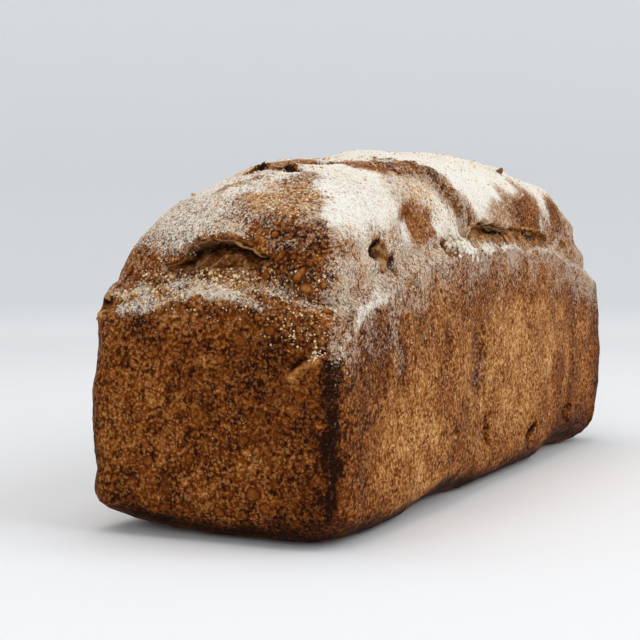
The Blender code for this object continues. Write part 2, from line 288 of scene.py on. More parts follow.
# Hollows, and swellings where the depth is negative: place, reach along X, Y and Z, depth, and how much
# of the hollow is bare torn crumb
HOLLOWS = (
    ((-0.1105, -0.046, 0.1018), (0.0066, 0.012, 0.0036), 0.0062, 1.0),
    ((-0.1045, -0.046, 0.098), (0.004, 0.01, 0.0044), 0.003, 1.0),
    ((-0.0985, -0.046, 0.0962), (0.003, 0.01, 0.0046), 0.0036, 0.8),
    ((-0.045, -0.047, 0.1015), (0.0034, 0.01, 0.003), 0.006, 1.0),
    ((-0.041, -0.048, 0.0998), (0.0034, 0.01, 0.0016), 0.0045, 1.0),
    ((-0.031, -0.048, 0.101), (0.012, 0.012, 0.0062), -0.0018, 0.0),
    ((-0.071, -0.044, 0.1115), (0.021, 0.014, 0.009), 0.0034, 0.0),
    ((-0.105, -0.036, 0.117), (0.042, 0.03, 0.03), -0.0026, 0.0),
    ((0.03, -0.044, 0.115), (0.07, 0.022, 0.017), -0.0026, 0.0),
    ((0.095, -0.03, 0.118), (0.035, 0.03, 0.02), -0.0018, 0.0),
    ((-0.06, 0.04, 0.118), (0.06, 0.024, 0.02), -0.0024, 0.0),
    ((0.07, 0.038, 0.116), (0.045, 0.026, 0.02), -0.002, 0.0),
    ((0.015, 0.04, 0.113), (0.013, 0.02, 0.014), 0.0026, 0.0),
    ((-0.146, 0.0455, 0.0855), (0.012, 0.012, 0.0062), -0.0034, 0.0),
    ((-0.054, 0.01, 0.139), (0.038, 0.05, 0.03), 0.0042, 0.0),
    ((-0.005, -0.013, 0.141), (0.032, 0.034, 0.02), 0.0022, 0.0),
    ((-0.026, -0.001, 0.14), (0.012, 0.016, 0.01), -0.0012, 0.0),
    ((-0.11, 0.024, 0.127), (0.024, 0.022, 0.014), 0.0019, 0.0),
    ((0.096, -0.026, 0.131), (0.026, 0.022, 0.014), 0.0026, 0.0),
    ((0.1345, -0.044, 0.099), (0.013, 0.012, 0.008), 0.0028, 0.0),
    ((-0.15, 0.0505, 0.067), (0.012, 0.012, 0.015), 0.0022, 0.0),
    ((-0.148, 0.048, 0.013), (0.016, 0.014, 0.011), -0.003, 0.0),
    ((-0.151, 0.043, 0.0835), (0.006, 0.0045, 0.0022), 0.004, 1.0),
    ((-0.0254, -0.0434, 0.1179), (0.0022, 0.008, 0.002), 0.003, 1.0),
    ((0.064, -0.046, 0.104), (0.006, 0.01, 0.0022), 0.0026, 0.9),
    ((0.09, -0.046, 0.101), (0.007, 0.01, 0.0026), 0.0028, 0.9),
    ((0.108, -0.046, 0.0985), (0.006, 0.01, 0.002), 0.002, 0.8),
    ((0.1, -0.044, 0.1065), (0.013, 0.012, 0.004), -0.0012, 0.0),
    ((0.078, -0.046, 0.099), (0.01, 0.012, 0.003), -0.001, 0.0),
    ((-0.024, -0.052, 0.057), (0.009, 0.008, 0.018), 0.0016, 0.0),
    ((-0.013, -0.052, 0.024), (0.009, 0.008, 0.012), 0.0022, 0.0),
    ((-0.05, -0.052, 0.027), (0.0048, 0.008, 0.0045), 0.0022, 0.4),
    ((-0.0388, -0.052, 0.04), (0.0036, 0.008, 0.0034), 0.0018, 0.4),
    ((-0.0557, -0.052, 0.0667), (0.0034, 0.008, 0.0038), 0.0016, 0.4),
    ((-0.013, -0.052, 0.04), (0.0024, 0.008, 0.0036), 0.0016, 0.4),
    ((0.045, -0.052, 0.017), (0.009, 0.009, 0.009), 0.0016, 0.0),
    ((0.098, -0.052, 0.019), (0.007, 0.008, 0.009), 0.002, 0.0),
    ((0.06, 0.052, 0.045), (0.012, 0.008, 0.015), 0.0018, 0.0),
    ((-0.08, 0.052, 0.03), (0.01, 0.008, 0.012), 0.002, 0.0),
    ((0.156, -0.012, 0.04), (0.008, 0.011, 0.013), 0.002, 0.0),
)

# Lines that are cut here and coloured further down: the fissures in the seam over the dome, a crack along the
# near shoulder, the slits low in the seen side, the seam of the far shoulder, and the fold of the flap of
# dough at the near corner
FISSURES = (
    ((-0.0475, -0.0235, 0.1335), (-0.04, -0.0305, 0.131), (-0.033, -0.037, 0.1275)),
    ((-0.03, -0.04, 0.123), (-0.0255, -0.044, 0.114)),
    ((-0.0195, -0.0435, 0.118), (-0.019, -0.045, 0.11)),
)
SHOULDER_CRACK = ((-0.102, -0.012, 0.1335), (-0.093, -0.018, 0.1335), (-0.084, -0.018, 0.1355))
SLITS = (
    ((0.04, -0.049, 0.0105), (0.0466, -0.05, 0.014), (0.0526, -0.0508, 0.0185)),
    ((0.102, -0.05, 0.013), (0.104, -0.0505, 0.0235)),
    ((0.138, -0.0495, 0.011), (0.14, -0.05, 0.019)),
    ((-0.0085, -0.051, 0.029), (-0.006, -0.0508, 0.019)),
)
FAR_SEAM = ((0.06, 0.01, 0.139), (0.072, 0.026, 0.132), (0.078, 0.04, 0.118))
FLAP_FOLD = ((-0.1555, -0.0315, 0.0594), (-0.155, -0.0375, 0.0634), (-0.1543, -0.043, 0.0668))

# Creases, and folds where the depth is negative: places, half width, depth, and how much of it is torn
CREASES = (
    # The seam over the dome, and the fissures in it
    (((-0.066, -0.019, 0.137), (-0.058, -0.029, 0.132), (-0.042, -0.036, 0.128), (-0.032, -0.041, 0.121),
      (-0.027, -0.045, 0.112), (-0.023, -0.046, 0.104)), 0.006, 0.0028, 0.0),
    (((-0.0507, -0.0184, 0.1357), (-0.0475, -0.0215, 0.135)), 0.002, 0.0032, 1.0),
    (FISSURES[0], 0.0018, 0.0026, 1.0),
    (FISSURES[1], 0.0016, 0.002, 0.8),
    (FISSURES[2], 0.0018, 0.0022, 0.7),
    # The cracks along the near shoulder of the dome
    (((-0.109, 0.0046, 0.131), (-0.1075, 0.0028, 0.1322), (-0.108, -0.0005, 0.132)),
     0.0026, -0.0012, 0.0),
    (((-0.112, 0.0054, 0.1299), (-0.1105, 0.002, 0.1305), (-0.1108, -0.0026, 0.1306)),
     0.002, 0.0028, 1.0),
    (((-0.11, -0.009, 0.1312), (-0.108, -0.012, 0.131)), 0.0024, -0.0014, 0.0),
    (((-0.113, -0.01, 0.1308), (-0.111, -0.014, 0.1305)), 0.0022, 0.0028, 1.0),
    (((-0.101, -0.009, 0.134), (-0.092, -0.015, 0.134), (-0.083, -0.015, 0.136)), 0.0022, -0.0016, 0.0),
    (SHOULDER_CRACK, 0.0018, 0.0022, 0.6),
    (((-0.052, -0.0175, 0.136), (-0.048, -0.0215, 0.135), (-0.04, -0.029, 0.1325),
      (-0.0318, -0.0363, 0.1295)), 0.0026, -0.0022, 0.0),
    # The flap of dough at the near corner and the crease above it
    (((-0.1555, -0.032, 0.0594), (-0.155, -0.0375, 0.0632), (-0.1543, -0.043, 0.0666)),
     0.004, -0.0036, 0.0),
    (((-0.1553, -0.0325, 0.0636), (-0.155, -0.037, 0.0668), (-0.1545, -0.0425, 0.07)),
     0.0018, 0.0026, 0.0),
    # The slits low in the seen side
    (SLITS[0], 0.0016, 0.0038, 0.0),
    (SLITS[1], 0.002, 0.0034, 0.0),
    (SLITS[2], 0.0022, 0.003, 0.0),
    (SLITS[3], 0.0024, 0.0016, 0.0),
    # Seams of the far shoulder and the hidden side
    (FAR_SEAM, 0.006, 0.0026, 0.0),
    (((0.064, 0.014, 0.137), (0.072, 0.026, 0.132)), 0.0018, 0.003, 1.0),
    (((-0.02, 0.0505, 0.012), (-0.012, 0.0508, 0.019)), 0.003, 0.0045, 1.0),
)

# The foot stands a little clear of the table here and there: place and reach along X and Y, and height
FOOT_LIFTS = (
    ((-0.155, -0.01), (0.018, 0.07), 0.0022),
    ((-0.152, 0.034), (0.022, 0.03), 0.0022),
    ((-0.048, -0.052), (0.04, 0.02), 0.0036),
    ((0.104, -0.052), (0.036, 0.02), 0.0058),
    ((-0.135, -0.05), (0.024, 0.018), 0.0014),
    ((0.02, -0.052), (0.16, 0.014), 0.0018),
    ((-0.02, 0.052), (0.05, 0.018), 0.003),
    ((0.155, 0.01), (0.018, 0.04), 0.0026),
)
FOOT_LIFT_FADE = (0.004, 0.016)

# Unevenness: the size of its swells and how far they reach
SWELLS = ((0.06, 0.0016), (0.022, 0.0008), (0.01, 0.0005), (0.0045, 0.00022), (0.002, 0.00012))
BASE_CALM = 0.012
BUBBLE_SIZE = 0.0024
BUBBLE_RISE = 0.00028
FINE_BUBBLE_SIZE = 0.0013
FINE_BUBBLE_RISE = 0.00012

smooth = smooth_skin()
way = outward(smooth)
x, y, z = np.moveaxis(smooth, 2, 0)
above_rim = z - rim_height(x, y)
on_dome = ease(above_rim, -0.0005, 0.002)
near_side = ease(-way[..., 0], 0.45, 0.75)
front_side = ease(-way[..., 1], 0.35, 0.7)

inward = np.zeros(x.shape)
down = np.zeros(x.shape)
torn = np.zeros(x.shape)
lip_shade = np.zeros(x.shape)
lip_band = np.zeros(x.shape)
uneven = 0.0007 * rough(smooth, 0.0055, 7.0) + 0.0004 * rough(smooth, 0.0018, 3.0)
for values in BREAKS:
    break_in, break_down, break_torn, break_lip_shade, break_band = break_shape(smooth, way, uneven, **values)
    inward += break_in
    down += break_down
    torn = np.maximum(torn, break_torn)
    lip_shade = np.maximum(lip_shade, break_lip_shade)
    lip_band = np.maximum(lip_band, break_band)
# Hollows and creases wander a little off their plain shapes
wander = np.stack([rough(smooth, 0.008, seed) for seed in (11.0, 23.0, 37.0)], axis=-1)
fine_wander = np.stack([rough(smooth, 0.0028, seed) for seed in (5.0, 17.0, 29.0)], axis=-1)
wandered = smooth + 0.0014 * wander + 0.0008 * fine_wander
for place, reach, depth, bare in HOLLOWS:
    share = oval(wandered, place, reach)
    inward += depth * share**1.5
    torn = np.maximum(torn, bare * ease(share, 0.1, 0.4))
for places, half_width, depth, bare in CREASES:
    share = along_line(wandered, places, half_width)
    inward += depth * share
    torn = np.maximum(torn, bare * ease(share, 0.25, 0.6))

# The skin's own bubbles: dense and round on the near end, finer along the sides
BUBBLE_EDGE = 0.62
bubble = np.clip(1 - cells(smooth, BUBBLE_SIZE) / BUBBLE_EDGE, 0, 1) ** 0.7
fine_bubble = np.clip(1 - cells(smooth, FINE_BUBBLE_SIZE, 9.0) / BUBBLE_EDGE, 0, 1)
for size, reach in SWELLS:
    inward -= reach * rough(smooth, size) * ease(z, 0, BASE_CALM)
bubbly = ease(z, 0, 0.004) * (0.35 + 0.65 * near_side)
inward -= (BUBBLE_RISE * bubble + FINE_BUBBLE_RISE * fine_bubble) * bubbly
# Torn crumb is ragged
inward += torn * (0.001 * rough(smooth, 0.0036, 13.0) + 0.0006 * rough(smooth, 0.0016, 19.0))
# The underside sat on the tin's floor: nearly flat, with shallow pits
sole = (way[..., 2] < -0.9) | (z <= 0)
pits = 0.0006 * np.clip(rough(smooth, 0.012, 3.0) + 0.2, 0, 1) * ease(-way[..., 2], 0.2, 1.0)
inward = np.where(sole, pits, inward)

skin = smooth - way * inward[..., None]
skin[..., 2] -= down
lift = sum(height * oval(smooth[..., :2], place, reach) for place, reach, height in FOOT_LIFTS)
skin[..., 2] += lift * (1 - ease(z, *FOOT_LIFT_FADE))
skin[..., 2] = np.maximum(skin[..., 2], 0)

# How dark each place is baked, from pale gold at 0 to nearly black at 1. The oven browned the end wall and
# the edges most. A patch has its value, its place, its reach along X, Y and Z, and how soft its edge is.
BAKE_ON = dict(end_wall=0.74, side_wall=0.55, end_dome=0.66, side_dome=0.58, sole=0.76)
DENT = ((-0.069, -0.044, 0.1115), (0.024, 0.02, 0.012))
NEAR_EDGE = ((-0.15, -0.046, 0.002), (-0.152, -0.0468, 0.03), (-0.152, -0.0472, 0.064))
BAKE_PATCHES = (
    # The seen side: gold in its lower middle, greyer and darker towards the top, the far edge and the corner
    (0.42, (0.03, -0.052, 0.052), (0.085, 0.03, 0.036), 0.8),
    (0.46, (-0.092, -0.052, 0.026), (0.046, 0.03, 0.024), 0.9),
    (0.66, (-0.136, -0.052, 0.05), (0.02, 0.03, 0.056), 0.9),
    (0.76, (-0.126, -0.052, 0.066), (0.03, 0.03, 0.026), 0.9),
    (0.74, (0.152, -0.05, 0.05), (0.03, 0.02, 0.07), 0.9),
    (0.68, (-0.0235, -0.052, 0.056), (0.011, 0.02, 0.021), 0.9),
    (0.62, (-0.016, -0.052, 0.0215), (0.014, 0.02, 0.013), 0.9),
    (0.68, (-0.0557, -0.052, 0.0667), (0.007, 0.02, 0.008), 0.9),
    (0.64, (0.085, -0.052, 0.036), (0.012, 0.02, 0.024), 0.9),
    (0.6, (0.062, -0.052, 0.026), (0.014, 0.02, 0.014), 0.9),
    (0.86, (0.106, -0.052, 0.01), (0.05, 0.02, 0.016), 0.9),
    (0.72, (0.106, -0.052, 0.03), (0.01, 0.02, 0.018), 0.9),
    (0.74, (-0.101, -0.052, 0.064), (0.005, 0.02, 0.018), 0.9),
    (0.64, (0.04, -0.052, 0.008), (0.03, 0.02, 0.01), 0.9),
    (0.58, (-0.066, -0.052, 0.08), (0.022, 0.02, 0.01), 0.8),
    (0.6, (0.06, -0.052, 0.088), (0.08, 0.02, 0.014), 0.8),
    # The end wall: reddish in its lower middle, darker towards the near corner
    (0.72, (-0.156, 0.004, 0.026), (0.02, 0.036, 0.022), 0.8),
    (0.7, (-0.156, 0.02, 0.07), (0.02, 0.036, 0.02), 0.8),
    (0.8, (-0.156, -0.03, 0.062), (0.02, 0.026, 0.03), 0.8),
    (0.68, (-0.156, 0.04, 0.058), (0.02, 0.014, 0.03), 0.9),
    (0.8, (-0.156, 0.006, 0.056), (0.02, 0.016, 0.012), 0.8),
    # The dome over the end: dark beside the flour, ruddy low by the corner
    (0.78, (-0.139, -0.027, 0.107), (0.022, 0.014, 0.01), 0.6),
    (0.5, (-0.128, -0.014, 0.12), (0.014, 0.018, 0.01), 0.7),
    (0.78, (-0.147, -0.037, 0.092), (0.014, 0.016, 0.014), 0.9),
    # The dent, the seam and the far brown places of the dome
    (0.58, *DENT, 0.9),
    (0.7, (0.052, -0.04, 0.112), (0.026, 0.02, 0.01), 0.8),
    (0.64, (0.1, -0.04, 0.108), (0.022, 0.02, 0.012), 0.8),
    # The hidden side and end
    (0.38, (-0.03, 0.052, 0.05), (0.08, 0.03, 0.034), 0.7),
    (0.42, (0.1, 0.052, 0.03), (0.04, 0.03, 0.024), 0.8),
    (0.6, (0.03, 0.052, 0.075), (0.03, 0.03, 0.016), 0.8),
    (0.6, (0.156, 0.006, 0.04), (0.02, 0.034, 0.03), 0.8),
    (0.72, (0.06, 0.036, 0.118), (0.03, 0.02, 0.012), 0.8),
)
BAKE_LINES = (
    # value, places, half width: the near edge, the other upright edges, and the seam
    (0.84, ((-0.153, -0.044, 0.0), (-0.153, -0.044, 0.03), (-0.154, -0.044, 0.06)), 0.015),
    (1.04, NEAR_EDGE, 0.005),
    (0.88, ((-0.154, 0.049, 0.004), (-0.154, 0.049, 0.04)), 0.008),
    (0.8, ((-0.154, 0.049, 0.04), (-0.154, 0.049, 0.07)), 0.005),
    (0.82, ((-0.156, 0.026, 0.074), (-0.156, 0.0, 0.066), (-0.156, -0.026, 0.054)), 0.009),
    (0.68, ((-0.156, 0.04, 0.062), (-0.156, 0.02, 0.05), (-0.156, 0.01, 0.03)), 0.008),
    (0.8, ((0.154, -0.049, 0.004), (0.154, -0.049, 0.066)), 0.007),
    (0.86, ((0.154, 0.049, 0.004), (0.154, 0.049, 0.066)), 0.007),
    (0.66, ((-0.066, -0.019, 0.137), (-0.056, -0.029, 0.132), (-0.04, -0.036, 0.128),
            (-0.03, -0.041, 0.121), (-0.023, -0.045, 0.112), (-0.019, -0.046, 0.105)), 0.011),
    (0.8, ((-0.0507, -0.0184, 0.1357), (-0.043, -0.026, 0.1335), (-0.0318, -0.0363, 0.1295)), 0.0044),
    (0.7, FAR_SEAM, 0.007),
)
# Cracks, slits and pits are painted dark inside as shade, as are the crease above the flap beside the near
# corner and a band below it. The flap is pale along its fold.
CRACK_LINES = (
    (0.97, ((-0.1553, -0.0325, 0.0638), (-0.155, -0.037, 0.067), (-0.1545, -0.0425, 0.0702)), 0.0015),
    (0.84, ((-0.1555, -0.0325, 0.0552), (-0.155, -0.0385, 0.0592), (-0.154, -0.044, 0.0626)), 0.002),
    (0.5, FLAP_FOLD, 0.0024),
    (1.0, SLITS[0], 0.0019),
    (1.0, SLITS[1], 0.002),
    (0.94, SLITS[2], 0.0024),
    (0.86, SLITS[3], 0.0022),
    (0.96, ((-0.051, -0.0515, 0.0262), (-0.0488, -0.0515, 0.029)), 0.0024),
    (0.96, ((-0.0395, -0.0515, 0.0412), (-0.0382, -0.0515, 0.039)), 0.0022),
    (0.92, ((-0.0562, -0.0512, 0.0682), (-0.0552, -0.0512, 0.0655)), 0.002),
    (0.92, ((-0.013, -0.0512, 0.0418), (-0.013, -0.0512, 0.0385)), 0.0014),
    (0.98, ((-0.1125, 0.006, 0.1297), (-0.1105, 0.0024, 0.1308), (-0.108, 0.001, 0.1322)), 0.003),
    (0.9, ((-0.1105, -0.001, 0.1308), (-0.1112, -0.005, 0.1304)), 0.0024),
    (0.98, ((-0.1121, -0.007, 0.1297), (-0.1106, -0.011, 0.13)), 0.0028),
    (0.8, SHOULDER_CRACK, 0.0022),
    (1.0, ((-0.1135, -0.043, 0.1035), (-0.1085, -0.043, 0.1042)), 0.003),
    (0.98, ((-0.097, -0.045, 0.099), (-0.0955, -0.0455, 0.0965)), 0.0022),
    (0.93, ((-0.1125, -0.044, 0.103), (-0.1065, -0.0445, 0.1005)), 0.0028),
    (0.92, ((-0.047, -0.046, 0.1025), (-0.043, -0.0465, 0.1)), 0.002),
    (1.0, ((-0.0515, -0.0178, 0.1357), (-0.0475, -0.0215, 0.135)), 0.0024),
    (0.92, FISSURES[0], 0.0018),
    (0.88, FISSURES[1], 0.0016),
    (0.92, FISSURES[2], 0.0018),
    (1.0, ((-0.1486, 0.0398, 0.0828), (-0.148, 0.044, 0.0824)), 0.0032),
    (0.98, ((-0.144, -0.008, 0.1012), (-0.145, -0.015, 0.099)), 0.0022),
    (0.97, ((-0.0555, -0.019, 0.1349), (-0.0538, -0.025, 0.134)), 0.003),
    (1.0, ((0.001, -0.045, 0.1072), (0.02, -0.045, 0.1056)), 0.0018),
    (0.98, ((0.048, -0.045, 0.1046), (0.06, -0.045, 0.1018)), 0.002),
)


# The foot of the walls is nearly burnt, up to a wavy line that is higher at the far end of the seen side.
# Lower down, a band is painted near black as shade where the foot meets the table, taller on the near end.
FOOT_BAKE = 0.95
FOOT_SHADE_HEIGHT = 0.0036
FOOT_SHADE_HEIGHT_AT_END = 0.0078
FOOT_HEIGHT = 0.006
FOOT_WAVE = 0.004
FOOT_FAR = 0.006

# How thick the flour lies, from none at 0 to a full coat at 1, in patches like those of the bake
FLOUR_ON = dict(side_dome_low=0.36, side_dome_high=0.92, end_dome=0.54, far_end=0.4)
FLOUR_CLIMB = (0.1, 0.118)
FLOUR_PATCHES = (
    # The end of the dome: thin by the flour's edge and round the pocket, thicker to the left and on top
    (0.34, (-0.132, -0.016, 0.117), (0.016, 0.02, 0.01), 0.7),
    (0.14, (-0.143, -0.026, 0.105), (0.03, 0.02, 0.013), 0.5),
    (0.16, (-0.148, -0.01, 0.098), (0.01, 0.04, 0.009), 0.6),
    (0.16, (-0.146, 0.032, 0.096), (0.014, 0.024, 0.01), 0.7),
    (0.62, (-0.134, 0.02, 0.114), (0.018, 0.022, 0.01), 0.8),
    (0.74, (-0.122, 0.01, 0.124), (0.014, 0.03, 0.006), 0.8),
    (0.6, (-0.108, 0.002, 0.132), (0.02, 0.018, 0.006), 0.8),
    (0.42, (-0.12, -0.018, 0.125), (0.014, 0.01, 0.006), 0.8),
    # The seen side of the dome: the bare dent, its halo, and the brown places of the far lobe
    (0.55, (-0.072, -0.04, 0.124), (0.026, 0.016, 0.012), 0.9),
    (0.02, (-0.068, -0.044, 0.112), (0.027, 0.015, 0.0112), 1.15),
    (0.78, (-0.0795, -0.042, 0.1083), (0.01, 0.012, 0.0064), 0.9),
    (0.76, (-0.104, -0.036, 0.122), (0.03, 0.02, 0.016), 1.2),
    (0.8, (-0.048, -0.045, 0.11), (0.006, 0.01, 0.012), 0.8),
    (0.36, (0.014, -0.044, 0.113), (0.026, 0.014, 0.009), 1.0),
    (0.06, (0.05, -0.044, 0.112), (0.032, 0.02, 0.015), 1.1),
    (0.3, (0.03, -0.04, 0.12), (0.012, 0.018, 0.014), 1.2),
    (0.16, (0.066, -0.04, 0.12), (0.014, 0.016, 0.015), 1.2),
    (0.08, (0.104, -0.042, 0.11), (0.024, 0.02, 0.018), 1.0),
    (0.06, (0.13, -0.04, 0.096), (0.026, 0.02, 0.018), 0.9),
    (0.42, (-0.07, 0.006, 0.137), (0.03, 0.008, 0.006), 0.9),
    (0.2, (-0.1, -0.006, 0.1335), (0.016, 0.01, 0.004), 0.9),
    (0.5, (-0.1, -0.047, 0.1), (0.03, 0.016, 0.012), 1.0),
    (0.06, (-0.1455, -0.038, 0.093), (0.012, 0.014, 0.013), 0.9),
    (0.02, (-0.1435, -0.025, 0.1035), (0.012, 0.018, 0.0075), 0.8),
    (0.45, (0.13, -0.02, 0.116), (0.02, 0.02, 0.01), 0.8),
    # The hidden parts
    (0.12, (0.06, 0.04, 0.112), (0.034, 0.018, 0.012), 0.7),
    (0.3, (-0.04, 0.044, 0.108), (0.024, 0.014, 0.009), 0.8),
    (0.12, (0.148, 0.01, 0.098), (0.014, 0.03, 0.01), 0.7),
)
FLOUR_LINES = (
    # value, places, half width. The ledge keeps flour where the dough left the tin
    (0.57, ((-0.154, 0.034, 0.0822), (-0.154, 0.018, 0.0856)), 0.0062),
    (0.5, ((-0.154, 0.018, 0.0862), (-0.153, 0.006, 0.0876)), 0.0054),
    (0.64, ((-0.153, 0.005, 0.0876), (-0.152, -0.005, 0.0888), (-0.153, -0.013, 0.0868)), 0.0052),
    (0.46, ((-0.153, -0.013, 0.0866), (-0.154, -0.02, 0.0836)), 0.004),
    (0.4, ((-0.1505, -0.0485, 0.069), (-0.144, -0.0495, 0.074)), 0.004),
    (0.56, ((-0.144, -0.0495, 0.074), (-0.1336, -0.05, 0.08)), 0.0048),
    (0.66, ((-0.1336, -0.05, 0.08), (-0.118, -0.05, 0.0865), (-0.102, -0.0495, 0.09)), 0.006),
    (0.36, ((-0.154, -0.0425, 0.069), (-0.1535, -0.045, 0.07)), 0.0026),
    (0.42, ((-0.11, -0.048, 0.091), (-0.08, -0.048, 0.096), (-0.045, -0.048, 0.099)), 0.009),
    (0.84, ((-0.04, -0.048, 0.102), (-0.024, -0.049, 0.099)), 0.006),
    (0.76, ((-0.024, -0.048, 0.1), (-0.004, -0.049, 0.1004)), 0.0048),
    (0.68, ((-0.004, -0.049, 0.1004), (0.01, -0.049, 0.1005), (0.03, -0.049, 0.0995)), 0.0044),
    (0.52, ((0.03, -0.049, 0.099), (0.066, -0.049, 0.0975)), 0.0036),
    (0.53, ((0.066, -0.049, 0.098), (0.088, -0.049, 0.0955)), 0.0046),
    (0.52, ((0.088, -0.049, 0.0955), (0.112, -0.049, 0.0905), (0.14, -0.049, 0.0815)), 0.005),
    (0.8, ((0.14, 0.048, 0.08), (0.09, 0.049, 0.095), (0.0, 0.049, 0.1),
            (-0.09, 0.049, 0.095), (-0.14, 0.048, 0.08)), 0.0042),
    (0.75, ((0.153, -0.03, 0.084), (0.152, 0.0, 0.0905), (0.153, 0.03, 0.084)), 0.0042),
    # A thin bare line above the pocket, and bare crust along the seam and its far neighbour
    (0.44, ((-0.129, 0.0098, 0.1222), (-0.1241, 0.0039, 0.1254), (-0.1195, -0.0018, 0.1281)), 0.0034),
    (0.26, ((-0.085, -0.0235, 0.1335), (-0.074, -0.027, 0.1325), (-0.06, -0.028, 0.133)), 0.01),
    (0.34, ((-0.066, -0.019, 0.137), (-0.056, -0.029, 0.132), (-0.04, -0.036, 0.128),
            (-0.03, -0.041, 0.121), (-0.022, -0.045, 0.112), (-0.018, -0.046, 0.106)), 0.015),
    (0.16, ((-0.08, -0.027, 0.1322), (-0.07, -0.0295, 0.1312)), 0.0062),
    (0.04, ((-0.072, -0.029, 0.1314), (-0.06, -0.029, 0.1312)), 0.0072),
    (0.06, ((-0.062, -0.024, 0.134), (-0.044, -0.034, 0.13), (-0.032, -0.04, 0.123),
            (-0.024, -0.044, 0.114)), 0.0096),
    (0.62, FAR_SEAM, 0.018),
    (0.3, ((0.063, 0.014, 0.137), (0.072, 0.026, 0.132), (0.077, 0.036, 0.122)), 0.008),
)
# The flour of the near lobe stops along its corner, at a line in plan
CORNER_LINE_PLACE = (-0.1247, -0.0274)
CORNER_LINE_WAY = (0.618, -0.786)


# Flour rubbed thin over the seam
SEAM_DUST = ((-0.06, -0.022, 0.136), (-0.044, -0.034, 0.13), (-0.032, -0.04, 0.123), (-0.02, -0.044, 0.112))

# Bare torn crumb below the lip of the long tear
TORN_STRIP = (
    (-0.016, -0.0445, 0.106), (0.01, -0.045, 0.1045), (0.04, -0.0455, 0.1035), (0.074, -0.0455, 0.1005)
)
TORN_STRIP_HALF = 0.0052

# Fine dust, in patches like those of the bake: on the walls and the rim by the near corner, and then over the
# dark dome beside it. The far lobe and the dent have less of it.
DUST_PATCHES = (
    (0.42, (-0.116, -0.052, 0.078), (0.04, 0.02, 0.026), 1.0),
    (0.3, (-0.0235, -0.052, 0.056), (0.012, 0.02, 0.022), 1.0),
    (0.4, (-0.016, -0.052, 0.0215), (0.014, 0.02, 0.013), 1.0),
    (0.4, (-0.148, -0.01, 0.0935), (0.01, 0.018, 0.006), 0.8),
    (0.3, (-0.135, 0.012, 0.112), (0.02, 0.03, 0.02), 0.8),
)
DUST_STREAK = ((-0.11, -0.0512, 0.076), (-0.105, -0.0516, 0.059))
DARK_DOME = ((-0.1435, -0.024, 0.1045), (0.014, 0.02, 0.012))
DARK_DOME_DUST = (
    (0.33, (-0.14, -0.027, 0.1085), (0.018, 0.016, 0.009), 0.7),
    (0.52, (-0.1345, -0.021, 0.1155), (0.016, 0.02, 0.0085), 0.7),
)
FAR_LOBE = ((0.07, -0.042, 0.113), (0.06, 0.022, 0.013))

# How much the unevenness of the oven and of the sieve adds, by the size of its lumps
UNEVENNESS = (0.03, 0.011, 0.0045)
BAKE_UNEVEN = (0.06, 0.05, 0.05)
FLOUR_UNEVEN = (0.12, 0.1, 0.06)
UPPER_WALL_BAKE = 0.1
TORN_SHADE = 0.16
LIP_BAKE = 0.5

ragged = smooth + 0.0028 * wander + 0.0012 * fine_wander
broad, middling, small = (rough(smooth, size, seed) for size, seed in zip(UNEVENNESS, (41.0, 47.0, 53.0)))


def painted(values, patches, lines):
    """The values with each patch and each line painted over them in turn."""
    for value, place, reach, softness in patches:
        values = values + ease(oval(ragged, place, reach), 0, softness) * (value - values)
    for value, places, half_width in lines:
        values = values + ease(along_line(ragged, places, half_width), 0.0, 0.8) * (value - values)
    return values


def cracked(values):
    """The values with the crack lines painted over them, where the creases themselves lie: dark inside as
    painted shade.
    """
    for value, places, half_width in CRACK_LINES:
        values = values + ease(along_line(wandered, places, half_width), 0.1, 0.7) * (value - values)
    return values


def dusted(values, patches):
    """The values, raised in each patch to what it has."""
    for value, place, reach, softness in patches:
        values = np.maximum(values, value * ease(oval(ragged, place, reach), 0, softness))
    return values


# The bake, place by place, and on top of it painted shade in torn hollows, cracks and under the lips
end_facing = ease(np.abs(way[..., 0]), 0.45, 0.75)
bake = BAKE_ON["side_wall"] + (BAKE_ON["end_wall"] - BAKE_ON["side_wall"]) * end_facing
dome_bake = BAKE_ON["side_dome"] + (BAKE_ON["end_dome"] - BAKE_ON["side_dome"]) * end_facing
bake = bake + on_dome * (dome_bake - bake)
bake = bake + ease(above_rim, -0.04, -0.006) * (1 - on_dome) * (1 - end_facing) * UPPER_WALL_BAKE
bake = painted(bake, BAKE_PATCHES, BAKE_LINES)
foot_height = FOOT_HEIGHT + FOOT_WAVE * (broad + middling) + FOOT_FAR * ease(x, 0.02, 0.12)
foot = 1 - ease(z, 0.3 * foot_height, 1.6 * foot_height)
bake = bake + foot * (FOOT_BAKE - bake)
bake = np.where(way[..., 2] < -0.95, BAKE_ON["sole"], bake)
for share, lumps in zip(BAKE_UNEVEN, (broad, middling, small)):
    bake = bake + share * lumps
# Painted shade: torn hollows and pits are painted darker
bake = bake + TORN_SHADE * torn
bake = bake + lip_band * (LIP_BAKE - bake)
# Painted shade: cracks, slits, pits and the crease by the flap are darkened inside
bake = cracked(bake)
# Painted shade: the upper hollow under each lip is painted nearly black
bake = bake + lip_shade * (1.0 - bake)

